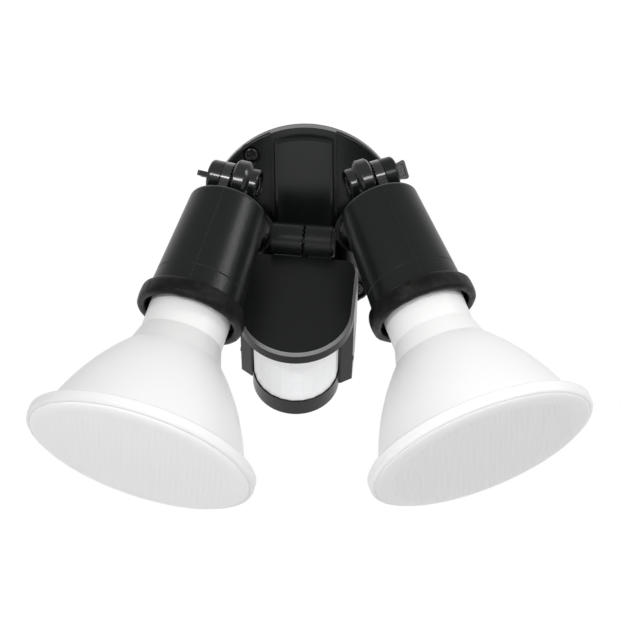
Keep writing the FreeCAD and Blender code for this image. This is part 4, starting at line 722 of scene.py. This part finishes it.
def gasket_finish():
    """Dull rubber with lighter dusty patches and a rough grain."""
    material = finish("gasket_rubber", (0.0030, 0.0035, 0.0030), 0.36, grain=1500.0,
                      depth=0.45, variation=0.25, specular=0.16, patch=90.0)
    tree = material.node_tree
    place = tree.nodes.new("ShaderNodeTexCoord")
    dust = tree.nodes.new("ShaderNodeTexNoise")
    dust.inputs["Scale"].default_value = 130.0
    dust.inputs["Detail"].default_value = 8.0
    dust.inputs["Roughness"].default_value = 0.75
    tree.links.new(place.outputs["Object"], dust.inputs["Vector"])
    amount = tree.nodes.new("ShaderNodeMapRange")
    amount.inputs["From Min"].default_value = 0.50
    amount.inputs["From Max"].default_value = 0.78
    amount.inputs["To Max"].default_value = 0.60
    tree.links.new(dust.outputs["Fac"], amount.inputs["Value"])
    tinted(tree, amount.outputs["Result"], DUST_GREY)
    return material


GASKET_RUBBER = gasket_finish()
print("gasket finish:", GASKET_RUBBER.name)

# %% [markdown]
# The ring's outline is drawn with one vertex that is extruded from point to point in the
# plane of the axis, then spun round it. The ring is laid in its lamp's frame, and a
# Displace modifier with soft clouds gives the lumps. Outline points are in millimetres,
# as distance from the axis and height from the knuckle's axis.

# %% Gasket ring
GASKET_OUTLINE = (
    (26.0, 77.2), (27.3, 77.1), (28.5, 77.9), (29.1, 79.6), (29.25, 82.0),
    (29.25, 84.6), (28.9, 86.6), (28.0, 87.6), (26.6, 87.9), (25.3, 87.7),
    (24.6, 87.0), (24.4, 85.8), (24.5, 84.0), (25.0, 82.7), (26.0, 82.3))
GASKET_STEPS = 120
LUMP_SIZE = 9 * MM
LUMP_DEPTH = 0.7 * MM
MERGE_WITHIN = 0.02 * MM


def spun_ring(name, outline, steps, closed=True):
    """A piece made by spinning an outline of (radius, height) points about the Z axis."""
    bpy.ops.object.select_all(action="DESELECT")
    bpy.ops.mesh.primitive_plane_add(size=1 * MM, location=(0, 0, 0))
    ring = bpy.context.object
    ring.name = name
    bpy.ops.object.mode_set(mode="EDIT")
    bpy.ops.mesh.select_all(action="SELECT")
    bpy.ops.mesh.merge(type="CENTER")
    radius, height = outline[0]
    bpy.ops.transform.translate(value=(radius * MM, 0, height * MM))
    for before, after in zip(outline, outline[1:]):
        step = ((after[0] - before[0]) * MM, 0, (after[1] - before[1]) * MM)
        bpy.ops.mesh.extrude_region_move(TRANSFORM_OT_translate={"value": step})
    bpy.ops.mesh.select_all(action="SELECT")
    if closed:
        bpy.ops.mesh.edge_face_add()
        bpy.ops.mesh.delete(type="ONLY_FACE")
        bpy.ops.mesh.select_all(action="SELECT")
    bpy.ops.mesh.spin(steps=steps, angle=math.tau, center=(0, 0, 0), axis=(0, 0, 1))
    bpy.ops.mesh.select_all(action="SELECT")
    bpy.ops.mesh.remove_doubles(threshold=MERGE_WITHIN)
    bpy.ops.mesh.normals_make_consistent(inside=False)
    bpy.ops.object.mode_set(mode="OBJECT")
    bpy.ops.object.shade_smooth()
    return ring


def roughened(piece, size, strength, levels):
    """Subdivide a piece and push it in and out by soft clouds."""
    smooth = piece.modifiers.new("smooth", "SUBSURF")
    smooth.levels = levels
    smooth.render_levels = levels
    clouds = bpy.data.textures.new(f"{piece.name}_clouds", "CLOUDS")
    clouds.noise_scale = size
    lumps = piece.modifiers.new("lumps", "DISPLACE")
    lumps.texture = clouds
    lumps.texture_coords = "LOCAL"
    lumps.strength = strength
    lumps.mid_level = 0.5
    for name in ("smooth", "lumps"):
        bpy.ops.object.modifier_apply(modifier=name)


for side in ("left", "right"):
    ring = spun_ring(f"{side}_mouth_gasket", GASKET_OUTLINE, GASKET_STEPS)
    ring.data.transform(LAMP_FRAMES[side])
    roughened(ring, LUMP_SIZE, LUMP_DEPTH, 1)
    ring.data.materials.append(GASKET_RUBBER)
    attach(ring, f"{side}_head")
    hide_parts(f"{side}_gasket")
    print(ring.name, "faces:", len(ring.data.polygons))

# %% [markdown]
# ## Front lenses
# The pressed lens is one turned shape: a low dome, a rounded margin that falls to the
# rim, and a short step back under the rim's edge. It is spun from an outline whose two
# curves come from their radii, so the pole and the margin stay smooth. Its sizes are in
# millimetres too.

# %% Front lens
LENS_EDGE = 58.62
LENS_FIELD = 50.5
LENS_BACK = 167.0
LENS_RIM = 168.9
MARGIN_TOP = 171.3
DOME_TOP = 173.1
DOME_STEPS = 16
MARGIN_STEPS = 12
LENS_STEPS = 144
SHARP_EDGE = math.radians(40)


def lens_outline():
    """Points from the front pole over the margin to the back of the lens."""
    rise = DOME_TOP - MARGIN_TOP
    dome_radius = (LENS_FIELD ** 2 + rise ** 2) / (2 * rise)
    points = []
    for number in range(DOME_STEPS + 1):
        r = LENS_FIELD * number / DOME_STEPS
        sag = dome_radius - math.sqrt(dome_radius ** 2 - r ** 2)
        points.append((r, DOME_TOP - sag))
    width = LENS_EDGE - LENS_FIELD
    fall = MARGIN_TOP - LENS_RIM
    for number in range(1, MARGIN_STEPS + 1):
        turn = math.pi / 2 * number / MARGIN_STEPS
        points.append((LENS_FIELD + width * math.sin(turn),
                       LENS_RIM + fall * math.cos(turn)))
    points.append((LENS_EDGE, LENS_BACK))
    points.append((0.0, LENS_BACK))
    return points


for side in ("left", "right"):
    glass = spun_ring(f"{side}_front_glass", lens_outline(), LENS_STEPS, closed=False)
    glass.data.transform(LAMP_FRAMES[side])
    bpy.ops.object.select_all(action="DESELECT")
    glass.select_set(True)
    bpy.context.view_layer.objects.active = glass
    bpy.ops.object.shade_smooth_by_angle(angle=SHARP_EDGE)
    glass.data.materials.append(OWN_FINISHES[f"{side}_lamp_lens"])
    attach(glass, f"{side}_lamp")
    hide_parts(f"{side}_lamp_lens")
    print(glass.name, "faces:", len(glass.data.polygons))
